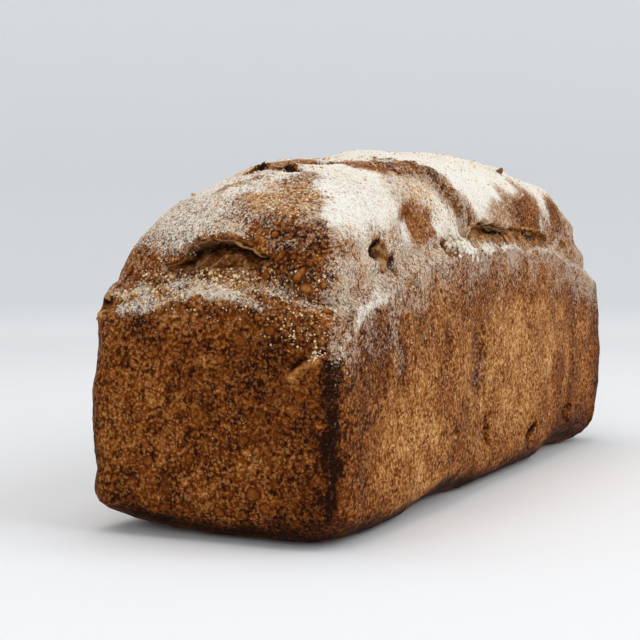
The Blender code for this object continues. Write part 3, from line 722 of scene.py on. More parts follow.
# The flour. It was shaken on in passes across the loaf, so it lies in streaks.
side_flour = FLOUR_ON["side_dome_low"] + ease(ragged[..., 2], *FLOUR_CLIMB) * (
    FLOUR_ON["side_dome_high"] - FLOUR_ON["side_dome_low"]
)
past_corner = (ragged[..., 0] - CORNER_LINE_PLACE[0]) * CORNER_LINE_WAY[0] + (
    ragged[..., 1] - CORNER_LINE_PLACE[1]
) * CORNER_LINE_WAY[1]
near_lobe = ease(past_corner, -0.001, 0.0016)
near_lobe = np.maximum(near_lobe, ease(ragged[..., 2], 0.126, 0.134))
near_lobe = np.where(y > 0.0, ease(x, -0.135, -0.11), near_lobe)
flour = FLOUR_ON["end_dome"] + near_lobe * (side_flour - FLOUR_ON["end_dome"])
far_end = ease(x, 0.13, 0.15)
flour = np.where(x > 0.12, side_flour * (1 - far_end) + FLOUR_ON["far_end"] * far_end, flour)
streak = rough(smooth * np.array((1.0, 0.12, 0.12)), 0.0075, 61.0)
flour = flour + (0.1 + 0.26 * ease(x, -0.02, 0.04)) * streak
for share, lumps in zip(FLOUR_UNEVEN, (broad, middling, small)):
    flour = flour + share * lumps
flour = painted(flour * on_dome, FLOUR_PATCHES, ())
flour = painted(flour * on_dome, (), FLOUR_LINES)
torn_strip = along_line(wandered, TORN_STRIP, TORN_STRIP_HALF) * (1 + middling + 0.8 * small)
torn = np.maximum(torn, 0.9 * ease(torn_strip, 0.25, 0.6) * front_side)

# Char and painted shade: shade painted nearly black in the cracks, under the lips of the breaks and along the
# foot, and char down the near edge
crack, char = np.zeros(x.shape), 0.8 * lip_shade
for value, places, half_width in CRACK_LINES:
    crack = np.maximum(crack, ease(along_line(wandered, places, half_width * 1.2), 0.0, 0.6))
    dark = ease(value, 0.88, 1.0) * ease(along_line(wandered, places, half_width), 0.1, 0.7)
    char = np.maximum(char, dark)
char_height = FOOT_SHADE_HEIGHT + near_side * (FOOT_SHADE_HEIGHT_AT_END - FOOT_SHADE_HEIGHT)
char_height = char_height * (1 + 0.6 * broad + 0.6 * middling)
at_foot = (1 - ease(z, 0.4 * char_height, char_height)) * (way[..., 2] > -0.9)
char = np.maximum(char, 0.92 * at_foot)
char = np.maximum(char, 0.4 * ease(along_line(ragged, NEAR_EDGE, 0.0055), 0, 0.8))

# Where the skin is smooth and of one colour, in the dent and along the fold of the flap; below zero where it
# is more speckled, on the long sides
in_dent = oval(ragged, *DENT)
plain = -0.45 * (1 - on_dome) * (1 - end_facing) * ease(z, 0.004, 0.012)
plain = np.maximum(plain, 0.6 * ease(in_dent, 0.0, 0.9) - 0.45 * (in_dent <= 0))
plain = np.maximum(plain, 0.7 * ease(along_line(wandered, FLAP_FOLD, 0.003), 0.1, 0.7))
flour = np.clip(flour, 0, 1) * (1 - 0.85 * torn) * (1 - 0.8 * lip_band) * (1 - 0.9 * crack)
flour = flour * ease(outward(skin)[..., 2], -0.35, -0.05)

# The film of fine dust
dust = on_dome * (1 - ease(z, 0.108, 0.116)) * (1 - near_side) * ease(x, -0.15, -0.125) * 0.42
dust = dusted(dust, DUST_PATCHES)
dust = np.maximum(dust, 0.6 * ease(above_rim, -0.036, 0.0) * front_side)
dust = np.maximum(dust, 0.24 * front_side * ease(z, 0.02, 0.06))
dust = np.maximum(dust, 0.34 * ease(above_rim, -0.02, 0.0) * near_side)
dust = np.maximum(dust, 0.6 * ease(along_line(ragged, DUST_STREAK, 0.006), 0, 0.8))
dust = dust * (1 - ease(oval(ragged, *DARK_DOME), 0, 0.8))
dust = dusted(dust, DARK_DOME_DUST)
dust = dust * (1 - 0.75 * ease(oval(ragged, *FAR_LOBE), 0, 0.8))
dust = dust * (1 - 0.5 * ease(in_dent, 0, 0.9))
dust = np.maximum(dust, 0.4 * ease(along_line(ragged, SEAM_DUST, 0.012), 0, 0.8))
dust = dust * (1 + 0.5 * middling) * (1 - 0.7 * torn)
dust = np.clip(np.maximum(dust, 0.44 * torn * front_side * ease(middling + small, -0.3, 0.4)), 0, 1)

columns = skin.shape[1]
seen_columns = QUARTERS[0][2] + QUARTERS[1][2]


def between_rings(rings, corners, first=0):
    """The faces between each ring of points and the next, where each ring has so many corners."""
    faces = []
    for number in range(rings - 1):
        base = first + number * corners
        for j in range(corners):
            k = (j + 1) % corners
            faces.append([base + j, base + k, base + corners + k, base + corners + j])
    return faces


def met_by(row):
    """For a row that is one line seen from above: which column of the seen side each column falls on."""
    line = row[: seen_columns + 1, 0]
    return [j if j <= seen_columns else int(np.argmin(np.abs(line - row[j, 0]))) for j in range(columns)]


def skin_faces(skin):
    """Faces of the closed skin. Its first and last rows are lines, where the two sides share points."""
    rows = skin.shape[0]
    sole_line, ridge = met_by(smooth[0]), met_by(smooth[-1])
    foot, top = (rows - 2) * columns, (rows - 1) * columns
    faces = []
    for j in range(columns):
        k = (j + 1) % columns
        low, high = sole_line[k], sole_line[j]
        line = [high, low] if j < seen_columns else list(range(high, low - 1, -1))
        faces.append([*line, columns + k, columns + j])
        low, high = ridge[k], ridge[j]
        line = [low, high] if j < seen_columns else list(range(low, high + 1))
        faces.append([foot + j, foot + k, *(top + place for place in line)])
    return faces + between_rings(rows - 2, columns, first=columns)


def made_of(name, points, faces, **values):
    """A smooth mesh piece from points and faces, with a value at each point under each name given."""
    used = np.unique(np.concatenate([np.array(face) for face in faces]))
    place_of = np.full(len(points), -1)
    place_of[used] = np.arange(len(used))
    mesh = bpy.data.meshes.new(name)
    mesh.from_pydata(points[used].tolist(), [], [place_of[face].tolist() for face in faces])
    for key, value in values.items():
        mesh.attributes.new(key, "FLOAT", "POINT").data.foreach_set("value", value[used].astype(np.float32))
    mesh.shade_smooth()
    mesh.validate()
    piece = bpy.data.objects.new(name, mesh)
    bpy.context.scene.collection.objects.link(piece)
    return piece


crust = made_of(
    "crust", skin.reshape(-1, 3), skin_faces(skin), bake=bake.ravel(), flour=flour.ravel(), dust=dust.ravel(),
    torn=torn.ravel(), char=char.ravel(), plain=plain.ravel(), bubble=(bubble * bubbly).ravel(),
)


def linear(hex_colour):
    """An sRGB hex colour as linear red, green, blue and alpha."""
    parts = [int(hex_colour[at : at + 2], 16) / 255 for at in (1, 3, 5)]
    return [part / 12.92 if part <= 0.04045 else ((part + 0.055) / 1.055) ** 2.4 for part in parts] + [1.0]


def give(node, inputs):
    """Gives each input named its value, or a link where that is a socket."""
    for key, value in inputs.items():
        if isinstance(value, bpy.types.NodeSocket):
            node.id_data.links.new(value, node.inputs[key])
        else:
            node.inputs[key].default_value = value


def add(material, kind, inputs=None, output=0, stops=(), **settings):
    """Adds a node with its settings, its ramp stops and its inputs, and returns the output asked for."""
    made = material.node_tree.nodes.new("ShaderNode" + kind)
    for key, value in settings.items():
        setattr(made, key, value)
    for number, (place, colour) in enumerate(stops):
        spots = made.color_ramp.elements
        spot = spots[number] if number < len(spots) else spots.new(place)
        spot.position = place
        spot.color = linear(colour)
    give(made, inputs or {})
    return made.outputs[output]


def new_material(name):
    """An empty node material and its Principled shader, joined to its output."""
    material = bpy.data.materials.new(name)
    material.use_nodes = True
    return material, material.node_tree.nodes["Principled BSDF"]


# Baked crust: dough skin browned by the oven, dull, with pores painted darker as shade and bubble tops
# painted paler as a highlight. On it the wheat flour is a matt cream coat that breaks into grains where it is
# thin, with a few golden bran flecks.
FLECK_COLOUR = "#d6a867"
baked_crust, crust_shader = new_material("baked_crust")
object_place = add(baked_crust, "TexCoord", output="Object")
painted_on = {
    name: add(baked_crust, "Attribute", output="Fac", attribute_name=name, attribute_type="GEOMETRY")
    for name in ("bake", "flour", "dust", "torn", "char", "plain", "bubble")
}

# Random lumps all over the skin. They are half as wide as a noise texture's unit, so its scale is half over
# their size. Flour and dust are finer than 0.1 mm, too fine to show, so their grains are drawn this coarse.
PATTERNS = dict(
    # size in metres, detail, harshness, and how far they are bent out of round
    mottle=(0.0006, 3.0, 0.65, 0.4),
    spots=(0.0014, 2.0, 0.55, 0.8),
    blotch=(0.0075, 4.0, 0.6, 0.6),
    plates=(0.0034, 1.0, 0.5, 1.0),
    crumb=(0.0022, 3.0, 0.6, 0.8),
    dust_grain=(0.00042, 2.0, 0.6, 0.0),
    flour_grain=(0.00028, 2.0, 0.6, 0.0),
    flour_clump=(0.0007, 2.0, 0.6, 0.0),
    bran=(0.00055, 2.0, 0.5, 0.0),
    bran_patch=(0.008, 2.0, 0.5, 0.0),
)
pattern = {
    name: add(
        baked_crust, "TexNoise",
        {"Vector": object_place, "Scale": 0.5 / size, "Detail": detail, "Roughness": harsh,
         "Distortion": bend},
    )
    for name, (size, detail, harsh, bend) in PATTERNS.items()
}
mottle, spots = pattern["mottle"], pattern["spots"]


def sum_of(*terms, offset=0.0):
    """The offset and each value times its factor, added up. Values and factors may be sockets."""
    total = offset
    for value, factor in terms:
        total = add(baked_crust, "Math", {0: value, 1: factor, 2: total}, operation="MULTIPLY_ADD")
    return total


# The skin's small bubbles, squeezed out of round by their neighbours, and pin holes between them
SMALL_BUBBLE_SIZE = 0.0014
SQUEEZE_SIZE = 0.0011
SQUEEZE_REACH = 0.0028
PIN_HOLE_GAP = 0.0034
squeeze = add(
    baked_crust, "TexNoise", {"Vector": object_place, "Scale": 0.5 / SQUEEZE_SIZE, "Detail": 1.0},
    output="Color",
)
squeezed_place = add(
    baked_crust, "VectorMath", {0: squeeze, 1: (SQUEEZE_REACH,) * 3, 2: object_place},
    operation="MULTIPLY_ADD",
)
skin_bubbles = add(
    baked_crust, "TexVoronoi", {"Vector": squeezed_place, "Scale": 1 / SMALL_BUBBLE_SIZE}, feature="F1"
)
pin_spots = add(baked_crust, "TexVoronoi", {"Vector": object_place, "Scale": 1 / PIN_HOLE_GAP}, feature="F1")
pin_holes = add(
    baked_crust, "MapRange",
    {"Value": pin_spots, "From Min": 0.12, "From Max": 0.24, "To Min": 1.0, "To Max": 0.0},
)

# The brown of the skin: its bake, speckled all over, calmer on plates of smooth skin a few millimetres wide.
# The speckle darkens the pin holes and the gaps between the small bubbles as painted shade, and the raised
# bubbles are painted a little lighter as a highlight.
speckle = sum_of((mottle, 0.9), (spots, 0.85), (skin_bubbles, 0.55), (pin_holes, 0.03), offset=-1.19)
plates = add(
    baked_crust, "MapRange", {"Value": pattern["plates"], "From Min": 0.54, "From Max": 0.66, "To Max": 0.6},
    interpolation_type="SMOOTHSTEP",
)
speckled = sum_of((painted_on["plain"], -0.7), (plates, -0.7), offset=1.06)
bake_seen = sum_of(
    (painted_on["bake"], 1.0), (speckle, speckled), (pattern["blotch"], 0.75), (painted_on["bubble"], -0.1),
    offset=-0.33,
)
crust_colour = add(
    baked_crust, "ValToRGB", {"Fac": bake_seen},
    stops=(
        (0.0, "#efcb97"), (0.14, "#d9a96d"), (0.32, "#bc8245"), (0.5, "#985b25"), (0.66, "#793e10"),
        (0.8, "#5f2d09"), (0.92, "#431d06"), (1.0, "#2b1206"),
    ),
)

# Torn crumb is greyer and paler than the skin round it, less so where it is baked dark or painted dark as
# shade
torn_colour = add(
    baked_crust, "ValToRGB", {"Fac": sum_of((pattern["crumb"], 2.3), (mottle, 0.8), offset=-1.03)},
    stops=((0.18, "#3a1c0b"), (0.4, "#82491f"), (0.6, "#b0743c"), (0.8, "#d3a574")),
)
torn_pale = add(
    baked_crust, "MapRange",
    {"Value": painted_on["bake"], "From Min": 0.82, "From Max": 0.96, "To Min": 0.75, "To Max": 0.15},
)
torn_share = sum_of((painted_on["torn"], torn_pale))

# Painted highlight: the tops of the small bubbles are painted greyer and paler than the rust brown between
# them, where they would catch the light
bubble_highlights = add(
    baked_crust, "MapRange",
    {"Value": sum_of((skin_bubbles, 1.0), (spots, -0.7)), "From Min": -0.12, "From Max": 0.08, "To Min": 0.62,
     "To Max": 0.0}, interpolation_type="SMOOTHSTEP",
)
bare_tops = sum_of((painted_on["plain"], -0.8), (painted_on["torn"], -0.8), (plates, -0.8), offset=1.0)
highlight_colour = add(
    baked_crust, "ValToRGB", {"Fac": painted_on["bake"]},
    stops=((0.3, "#dcb27c"), (0.55, "#bb8f60"), (0.75, "#96683c"), (0.95, "#4a2c18")),
)

# The film of dust is a paler grey brown, in grains
dust_gap = sum_of((pattern["dust_grain"], 1.6), (spots, 0.9), offset=-0.72)
dust_share = add(
    baked_crust, "MapRange",
    {"Value": sum_of((painted_on["dust"], 1.0), (dust_gap, -1.0)), "From Min": -0.12, "From Max": 0.24,
     "To Max": 0.62}, interpolation_type="SMOOTHSTEP",
)

# The coat of flour is whole where its value is high, breaks into specks where it is low, and lets the crust's
# brown through where it is thin
flour_gap = sum_of((pattern["flour_grain"], 1.45), (pattern["flour_clump"], 1.1), offset=-0.775)
flour_share = add(
    baked_crust, "MapRange",
    {"Value": sum_of((painted_on["flour"], 1.0), (flour_gap, -1.0)), "From Min": -0.24, "From Max": 0.35},
    interpolation_type="SMOOTHSTEP",
)
bran = add(
    baked_crust, "ValToRGB",
    {"Fac": sum_of((pattern["bran"], 0.75), (pattern["bran_patch"], 0.35), offset=-0.05)},
    stops=((0.3, "#f4f1ea"), (0.54, "#f0eade"), (0.64, "#e8d6b4"), (0.74, FLECK_COLOUR)),
)
thinness = add(
    baked_crust, "MapRange",
    {"Value": painted_on["flour"], "From Min": 0.25, "From Max": 0.8, "To Min": 0.8, "To Max": 0.0},
)
flour_colour = add(
    baked_crust, "Mix", {"Factor": thinness, "A": bran, "B": linear("#d9c6ab")}, output="Result",
    data_type="RGBA",
)

# Coat over coat: torn crumb, painted highlights on the bubbles' tops, char and painted shade that are nearly
# black inside cracks, under lips and along the foot, dust and flour
surface = crust_colour
for share, colour in (
    (torn_share, torn_colour),
    (sum_of((bubble_highlights, bare_tops)), highlight_colour),
    (sum_of((painted_on["char"], 0.92)), linear("#110904")),
    (dust_share, linear("#d2c0aa")),
    (flour_share, flour_colour),
):
    surface = add(
        baked_crust, "Mix", {"Factor": share, "A": surface, "B": colour}, output="Result", data_type="RGBA"
    )
height = sum_of(
    (mottle, 0.5), (spots, 0.9), (skin_bubbles, -0.5), (pin_holes, -0.4), (pattern["flour_grain"], 0.35),
    (flour_share, 0.12), (sum_of((painted_on["torn"], pattern["crumb"])), 2.0),
)
give(crust_shader, {
    "Base Color": surface,
    "Roughness": sum_of((flour_share, 0.35), (mottle, 0.2), offset=0.45),
    "Specular IOR Level": 0.03,
    "Normal": add(baked_crust, "Bump", {"Height": height, "Distance": 0.0012, "Strength": 0.8}),
})
crust.data.materials.append(baked_crust)
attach(crust, "root")
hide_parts("loaf")

# Blisters: bubbles of dough that bulged under the skin and set as smooth caps, most of them beside the
# pocket in the near end. They are the crust's own skin, so they ride with it and wear its material.
CAP_RINGS = (1.0, 0.9, 0.74, 0.52, 0.26)
CAP_CORNERS = 18
CAP_SINK = 0.0003
# How much darker a blister's rim is painted, as shade
CAP_RIM_SHADE = 0.32
CAP_CALM = 1.1
CAP_WAVES = ((2, 0.1), (3, 0.06))
CAPS = (
    # place, half width, half height, lean to the right in degrees, rise, bake
    ((-0.1421, -0.0205, 0.108), 0.0015, 0.0015, 0, 0.0014, 0.43),
    ((-0.1447, -0.0149, 0.1059), 0.001, 0.0013, 20, 0.0009, 0.49),
    ((-0.1395, -0.0204, 0.1121), 0.0013, 0.001, 0, 0.0009, 0.47),
    ((-0.1456, -0.0253, 0.1008), 0.0013, 0.003, 28, 0.0016, 0.45),
    ((-0.1457, -0.0296, 0.1003), 0.0014, 0.0013, 0, 0.0012, 0.49),
    ((-0.1474, -0.0205, 0.094), 0.0018, 0.0017, 0, 0.0014, 0.49),
    ((-0.1473, -0.0248, 0.0953), 0.0012, 0.0011, 0, 0.0009, 0.51),
    ((-0.1472, -0.0272, 0.096), 0.0011, 0.0012, 0, 0.0009, 0.51),
    ((-0.1474, -0.0327, 0.0945), 0.0019, 0.0034, 38, 0.0018, 0.41),
    ((-0.1477, -0.0353, 0.0902), 0.0032, 0.0018, 10, 0.0015, 0.43),
    ((-0.1451, -0.0401, 0.0909), 0.0015, 0.0015, 0, 0.0014, 0.47),
    ((-0.1451, -0.0355, 0.0983), 0.0017, 0.0011, 0, 0.001, 0.53),
    ((-0.1471, -0.043, 0.0826), 0.002, 0.0015, 0, 0.0012, 0.49),
    ((-0.1536, -0.0242, 0.0753), 0.0022, 0.0022, 0, 0.0009, 0.55),
    ((-0.1477, 0.0347, 0.0943), 0.0018, 0.0018, 0, 0.0014, 0.51),
    ((-0.146, 0.026, 0.099), 0.0013, 0.0012, 0, 0.0009, 0.55),
    # Low ones on the end wall
    ((-0.1545, -0.0059, 0.065), 0.0021, 0.0021, 0, 0.0007, 0.56),
    ((-0.1544, -0.031, 0.0446), 0.0016, 0.0017, 0, 0.0007, 0.56),
    ((-0.1552, 0.0067, 0.0294), 0.0025, 0.0018, 30, 0.0007, 0.58),
    ((-0.1536, -0.0182, 0.0184), 0.0037, 0.0028, 15, 0.0007, 0.58),
    ((-0.1537, 0.0171, 0.0123), 0.0032, 0.0017, -10, 0.0007, 0.6),
    ((-0.1531, -0.0041, 0.0126), 0.0023, 0.0025, 0, 0.0007, 0.56),
    ((-0.1533, -0.0227, 0.0142), 0.003, 0.0021, 25, 0.0007, 0.58),
    ((-0.156, 0.0344, 0.0562), 0.0015, 0.0023, 15, 0.0007, 0.54),
    ((-0.1552, 0.0235, 0.0275), 0.0028, 0.0023, -30, 0.0007, 0.58),
    ((-0.1555, 0.002, 0.0525), 0.0018, 0.0016, 0, 0.0007, 0.56),
    ((-0.1545, -0.0152, 0.0377), 0.0021, 0.0023, 20, 0.0007, 0.56),
    ((-0.1552, 0.0203, 0.0674), 0.0018, 0.0021, 0, 0.0007, 0.56),
    # On the hidden end
    ((0.146, 0.018, 0.096), 0.0024, 0.002, 20, 0.0012, 0.49),
    ((0.144, 0.012, 0.101), 0.0018, 0.0015, 0, 0.001, 0.49),
    ((0.148, -0.016, 0.093), 0.002, 0.0026, -20, 0.0014, 0.47),
)


def nearest(place):
    """Which point of the skin is nearest to the place."""
    return np.argmin(np.sum((flat - np.array(place)) ** 2, axis=1))


def cap(rng, place, half_width, half_height, lean, rise, bake_value):
    """Points, faces and bake of one blister, which follows the skin under it, sinks in at its rim and is
    painted darker there as shade.
    """
    foot = flat[nearest(place)]
    close = np.sum((flat - foot) ** 2, axis=1) < (1.3 * max(half_width, half_height) + 0.001) ** 2
    way = flat_ways[close].mean(axis=0)
    way /= np.linalg.norm(way)
    up = np.array((0, 0, 1.0)) - way * way[2]
    up /= np.linalg.norm(up)
    aside = np.cross(up, way)
    turn = math.radians(lean)
    tall = math.cos(turn) * up + math.sin(turn) * aside
    wide = math.cos(turn) * aside - math.sin(turn) * up
    angles = np.arange(CAP_CORNERS) * 2 * math.pi / CAP_CORNERS
    outline = np.ones(CAP_CORNERS)
    for waves, height in CAP_WAVES:
        outline = outline + height * np.sin(waves * angles + rng.uniform(0, 6))
    points = []
    for share in (*CAP_RINGS, 0.0):
        for angle, reach in zip(angles, outline) if share else ((0.0, 1.0),):
            spoke = wide * half_width * math.cos(angle) + tall * half_height * math.sin(angle)
            aim = foot + share * reach * spoke
            under = flat[close][np.argsort(np.sum((flat[close] - aim) ** 2, axis=1))[:4]].mean(axis=0)
            level = (under - foot) @ way + rise * math.sqrt(max(0.0, 1 - share**2.4)) - CAP_SINK
            points.append(aim + way * level)
    faces = [list(range(CAP_CORNERS))[::-1], *between_rings(len(CAP_RINGS), CAP_CORNERS)]
    last, top = (len(CAP_RINGS) - 1) * CAP_CORNERS, len(CAP_RINGS) * CAP_CORNERS
    faces += [[last + j, last + (j + 1) % CAP_CORNERS, top] for j in range(CAP_CORNERS)]
    shares = np.concatenate([np.repeat(CAP_RINGS, CAP_CORNERS), [0.0]])
    return np.array(points), faces, bake_value + CAP_RIM_SHADE * ease(shares, 0.45, 1.0)


def joined(parts):
    """The parts as one: their points, their faces, and the value that each point has."""
    starts = np.cumsum([0] + [len(points) for points, _, _ in parts])
    faces = [[start + corner for corner in face] for start, part in zip(starts, parts) for face in part[1]]
    return np.concatenate([part[0] for part in parts]), faces, np.concatenate([part[2] for part in parts])


flat = skin.reshape(-1, 3)
flat_ways = outward(skin).reshape(-1, 3)
cap_rng = np.random.default_rng(11)
cap_points, cap_faces, cap_bakes = joined([cap(cap_rng, *values) for values in CAPS])
blisters = made_of(
    "blisters", cap_points, cap_faces, bake=cap_bakes, plain=np.full(len(cap_points), CAP_CALM)
)
blisters.data.materials.append(baked_crust)
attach(blisters, "root")

# What lies on the crust: coarse golden semolina and crumbs that stuck to the dough, granules and lumps of
# the white flour, and burnt crumbs and flakes of crust. They are baked on, so they ride with the loaf.
GOLDEN_SPREAD = (
    # grains on a square centimetre, place, reach along X, Y and Z
    (3.0, (0.0, 0.0, 0.13), (0.2, 0.08, 0.045)),
    (16, (-0.09, -0.012, 0.134), (0.03, 0.012, 0.008)),
    (10, (-0.1455, -0.038, 0.092), (0.012, 0.014, 0.014)),
    (0.3, (0.0, 0.0, 0.05), (0.2, 0.08, 0.06)),
    (34, (-0.068, 0.006, 0.137), (0.03, 0.01, 0.006)),
    (24, (-0.148, 0.004, 0.0925), (0.014, 0.036, 0.0085)),
    (56, (-0.15, -0.005, 0.0925), (0.01, 0.02, 0.0034)),
    (60, (-0.153, 0.026, 0.0855), (0.01, 0.02, 0.0044)),
    (24, (-0.151, -0.024, 0.088), (0.01, 0.012, 0.006)),
    (50, (-0.1545, -0.042, 0.0672), (0.004, 0.0034, 0.003)),
    (24, (-0.115, -0.002, 0.13), (0.024, 0.024, 0.009)),
    (64, (-0.128, -0.02, 0.12), (0.014, 0.016, 0.01)),
    (20, (-0.151, -0.036, 0.08), (0.012, 0.018, 0.016)),
    (14, (-0.06, -0.034, 0.124), (0.016, 0.012, 0.01)),
    (16, (-0.04, -0.045, 0.112), (0.01, 0.01, 0.012)),
    (60, (-0.06, -0.039, 0.1235), (0.014, 0.006, 0.005)),
    (50, (-0.051, -0.043, 0.116), (0.006, 0.006, 0.008)),
    (20, (0.03, -0.045, 0.104), (0.06, 0.01, 0.005)),
    (12, (-0.086, -0.052, 0.092), (0.03, 0.008, 0.01)),
)
FLOUR_SPREAD = (
    (24, (-0.126, -0.047, 0.096), (0.026, 0.014, 0.016)),
    (26, (-0.138, 0.016, 0.11), (0.02, 0.034, 0.016)),
    (5, (-0.149, -0.042, 0.08), (0.012, 0.014, 0.016)),
    (90, (-0.1545, -0.0425, 0.0676), (0.004, 0.003, 0.0026)),
    (18, (-0.08, -0.048, 0.098), (0.05, 0.01, 0.01)),
    (10, (-0.154, 0.0, 0.088), (0.01, 0.036, 0.01)),
    (1.5, (-0.06, -0.052, 0.08), (0.1, 0.01, 0.02)),
)
BURNT_SPREAD = (
    (7, (0.0, 0.0, 0.002), (0.2, 0.08, 0.007)),
    (5, (-0.154, -0.049, 0.03), (0.006, 0.006, 0.04)),
    (0.3, (0.0, 0.0, 0.06), (0.2, 0.08, 0.06)),
)


def spread_over(places, patches):
    """Grains on a square metre at the places, where the patches give them on a square centimetre."""
    each = [number * 1e4 * ease(oval(places, place, reach), 0, 0.6) for number, place, reach in patches]
    return np.max(each, axis=0)


def drawn(rng, patches):
    """Random places on the skin, as dense as the patches say, and the way out at each."""
    a, b = skin[1:-2], np.roll(skin[1:-2], -1, axis=1)
    c, d = np.roll(skin[2:-1], -1, axis=1), skin[2:-1]
    across = np.cross(c - a, d - b).reshape(-1, 3)
    size = np.linalg.norm(across, axis=1)
    middle = ((a + b + c + d) / 4).reshape(-1, 3)
    bare = (1 - torn[1:-2].ravel()) * (1 - lip_shade[1:-2].ravel()) * ease(across[:, 2] / size, -0.35, -0.05)
    expected = spread_over(middle, patches) * size / 2 * bare
    chosen = np.repeat(np.arange(len(size)), rng.poisson(expected))
    u, v = rng.random((2, len(chosen), 1))
    a, b, c, d = (corner.reshape(-1, 3)[chosen] for corner in (a, b, c, d))
    place = (a * (1 - u) + b * u) * (1 - v) + (d * (1 - u) + c * u) * v
    return place, across[chosen] / size[chosen, None]


# A grain before it is stretched: twenty faces round twelve corners
TALL = (1 + math.sqrt(5)) / 2
GRAIN_CORNERS = np.array([
    (-1, TALL, 0), (1, TALL, 0), (-1, -TALL, 0), (1, -TALL, 0), (0, -1, TALL), (0, 1, TALL),
    (0, -1, -TALL), (0, 1, -TALL), (TALL, 0, -1), (TALL, 0, 1), (-TALL, 0, -1), (-TALL, 0, 1),
]) / math.hypot(1, TALL)
GRAIN_FACES = np.array([
    (0, 11, 5), (0, 5, 1), (0, 1, 7), (0, 7, 10), (0, 10, 11), (1, 5, 9), (5, 11, 4), (11, 10, 2), (10, 7, 6),
    (7, 1, 8), (3, 9, 4), (3, 4, 2), (3, 2, 6), (3, 6, 8), (3, 8, 9), (4, 9, 5), (2, 4, 11), (6, 2, 10),
    (8, 6, 7), (9, 8, 1),
])
GRAIN_FLATNESS = 0.62
GRAIN_SHOWN = 0.45


def grains(rng, places, ways, widths):
    """Points, faces and shades of one uneven grain at each place, sunk a little into the skin."""
    count = len(places)
    turned = rng.normal(size=(count, 3))
    ahead = np.cross(ways, turned)
    ahead /= np.linalg.norm(ahead, axis=1, keepdims=True)
    aside = np.cross(ways, ahead)
    stretch = widths[:, None] / 2 * np.stack([
        rng.uniform(0.95, 1.45, count),
        rng.uniform(0.75, 1.05, count),
        GRAIN_FLATNESS * rng.uniform(0.7, 1.2, count),
    ], axis=1)
    bumps = 1 + rng.uniform(-0.2, 0.2, (count, len(GRAIN_CORNERS), 1))
    corners = GRAIN_CORNERS * bumps * stretch[:, None, :]
    axes = np.stack([ahead, aside, ways], axis=1)
    middles = places + ways * stretch[:, 2:] * GRAIN_SHOWN
    points = np.einsum("nki,nij->nkj", corners, axes) + middles[:, None, :]
    faces = GRAIN_FACES[None] + len(GRAIN_CORNERS) * np.arange(count)[:, None, None]
    shades = np.repeat(rng.random(count), len(GRAIN_CORNERS))
    return points.reshape(-1, 3), faces.reshape(-1, 3).tolist(), shades


def closed_tube(rings, corners):
    """Faces of a tube of rings of points, with a face over each end."""
    start, end = list(range(corners)), list(range((rings - 1) * corners, rings * corners))
    return [start[::-1], *between_rings(rings, corners), end]


SCRAP_STEPS = 5
SCRAP_CORNERS = 9


def scrap(rng, place, tip, lift, length, width, thick, shade):
    """A ragged scrap of crust that tapers to its tip, standing up off the skin by the lift in degrees."""
    near = nearest(place)
    foot, way = flat[near], flat_ways[near]
    ahead = np.array(tip) - way * (way @ np.array(tip))
    ahead /= np.linalg.norm(ahead)
    aside = np.cross(way, ahead)
    bend = math.radians(rng.uniform(-30, 10))
    centre = foot - way * thick
    rings = []
    for step in range(SCRAP_STEPS + 1):
        share = step / SCRAP_STEPS
        turn = math.radians(lift) + bend * share
        run = math.cos(turn) * ahead + math.sin(turn) * way
        face = math.cos(turn) * way - math.sin(turn) * ahead
        centre = centre + run * length / SCRAP_STEPS
        slim = 1 - 0.72 * share**1.6
        for angle in np.arange(SCRAP_CORNERS) * 2 * math.pi / SCRAP_CORNERS:
            uneven = slim * rng.uniform(0.72, 1.15) / 2
            rings.append(centre + uneven * (aside * width * math.cos(angle) + face * thick * math.sin(angle)))
    return np.array(rings), closed_tube(SCRAP_STEPS + 1, SCRAP_CORNERS), np.full(len(rings), shade)


STRIP_STEP = 0.0008
STRIP_CORNERS = 6


def lip_strip(rng, wall, lip, stand_out, width, thick, shade, start, end):
    """The thin ragged edge of the crust along the lip of a break, from start to end along the wall."""
    along, faced, sign = WALLS[wall]
    lip = np.array(lip)
    shown = np.flatnonzero(sign * smooth_ways[:, faced] > FACING[1])
    middles = []
    for at in np.arange(start, end, STRIP_STEP):
        height = np.interp(at, lip[:, 0], lip[:, 1]) + 0.0004 * math.sin(at / 0.0013) + rng.normal() * 0.00012
        away = (smooth_flat[shown, along] - at) ** 2 + (smooth_flat[shown, 2] - height) ** 2
        closest = shown[np.argsort(away)[:4]]
        middle = smooth_flat[closest].mean(axis=0)
        middle[along], middle[2] = at, height
        middles.append(middle + smooth_ways[closest[0]] * stand_out)
    middles = np.array(middles)
    run = np.gradient(middles, axis=0)
    run /= np.linalg.norm(run, axis=1, keepdims=True)
    rings = []
    count = len(middles)
    for number, (middle, ahead) in enumerate(zip(middles, run)):
        across = np.cross(ahead, (0, 0, 1.0))
        across /= np.linalg.norm(across)
        rise = np.cross(ahead, across)
        slim = min(1.0, 6 * min(number, count - 1 - number) / count + 0.3) * rng.uniform(0.6, 1.25) / 2
        for angle in np.arange(STRIP_CORNERS) * 2 * math.pi / STRIP_CORNERS:
            rings.append(middle + slim * (across * width * math.cos(angle) + rise * thick * math.sin(angle)))
    shades = np.repeat(shade + rng.normal(0, 0.1, count), STRIP_CORNERS)
    return np.array(rings), closed_tube(count, STRIP_CORNERS), shades


def grain_material(name, stops, roughness):
    """A dull material whose colour runs over the stops with the shade of each grain."""
    made, made_shader = new_material(name)
    shade = add(made, "Attribute", output="Fac", attribute_name="shade", attribute_type="GEOMETRY")
    colour = add(made, "ValToRGB", {"Fac": shade}, stops=stops)
    give(made_shader, {"Base Color": colour, "Roughness": roughness, "Specular IOR Level": 0.2})
    return made


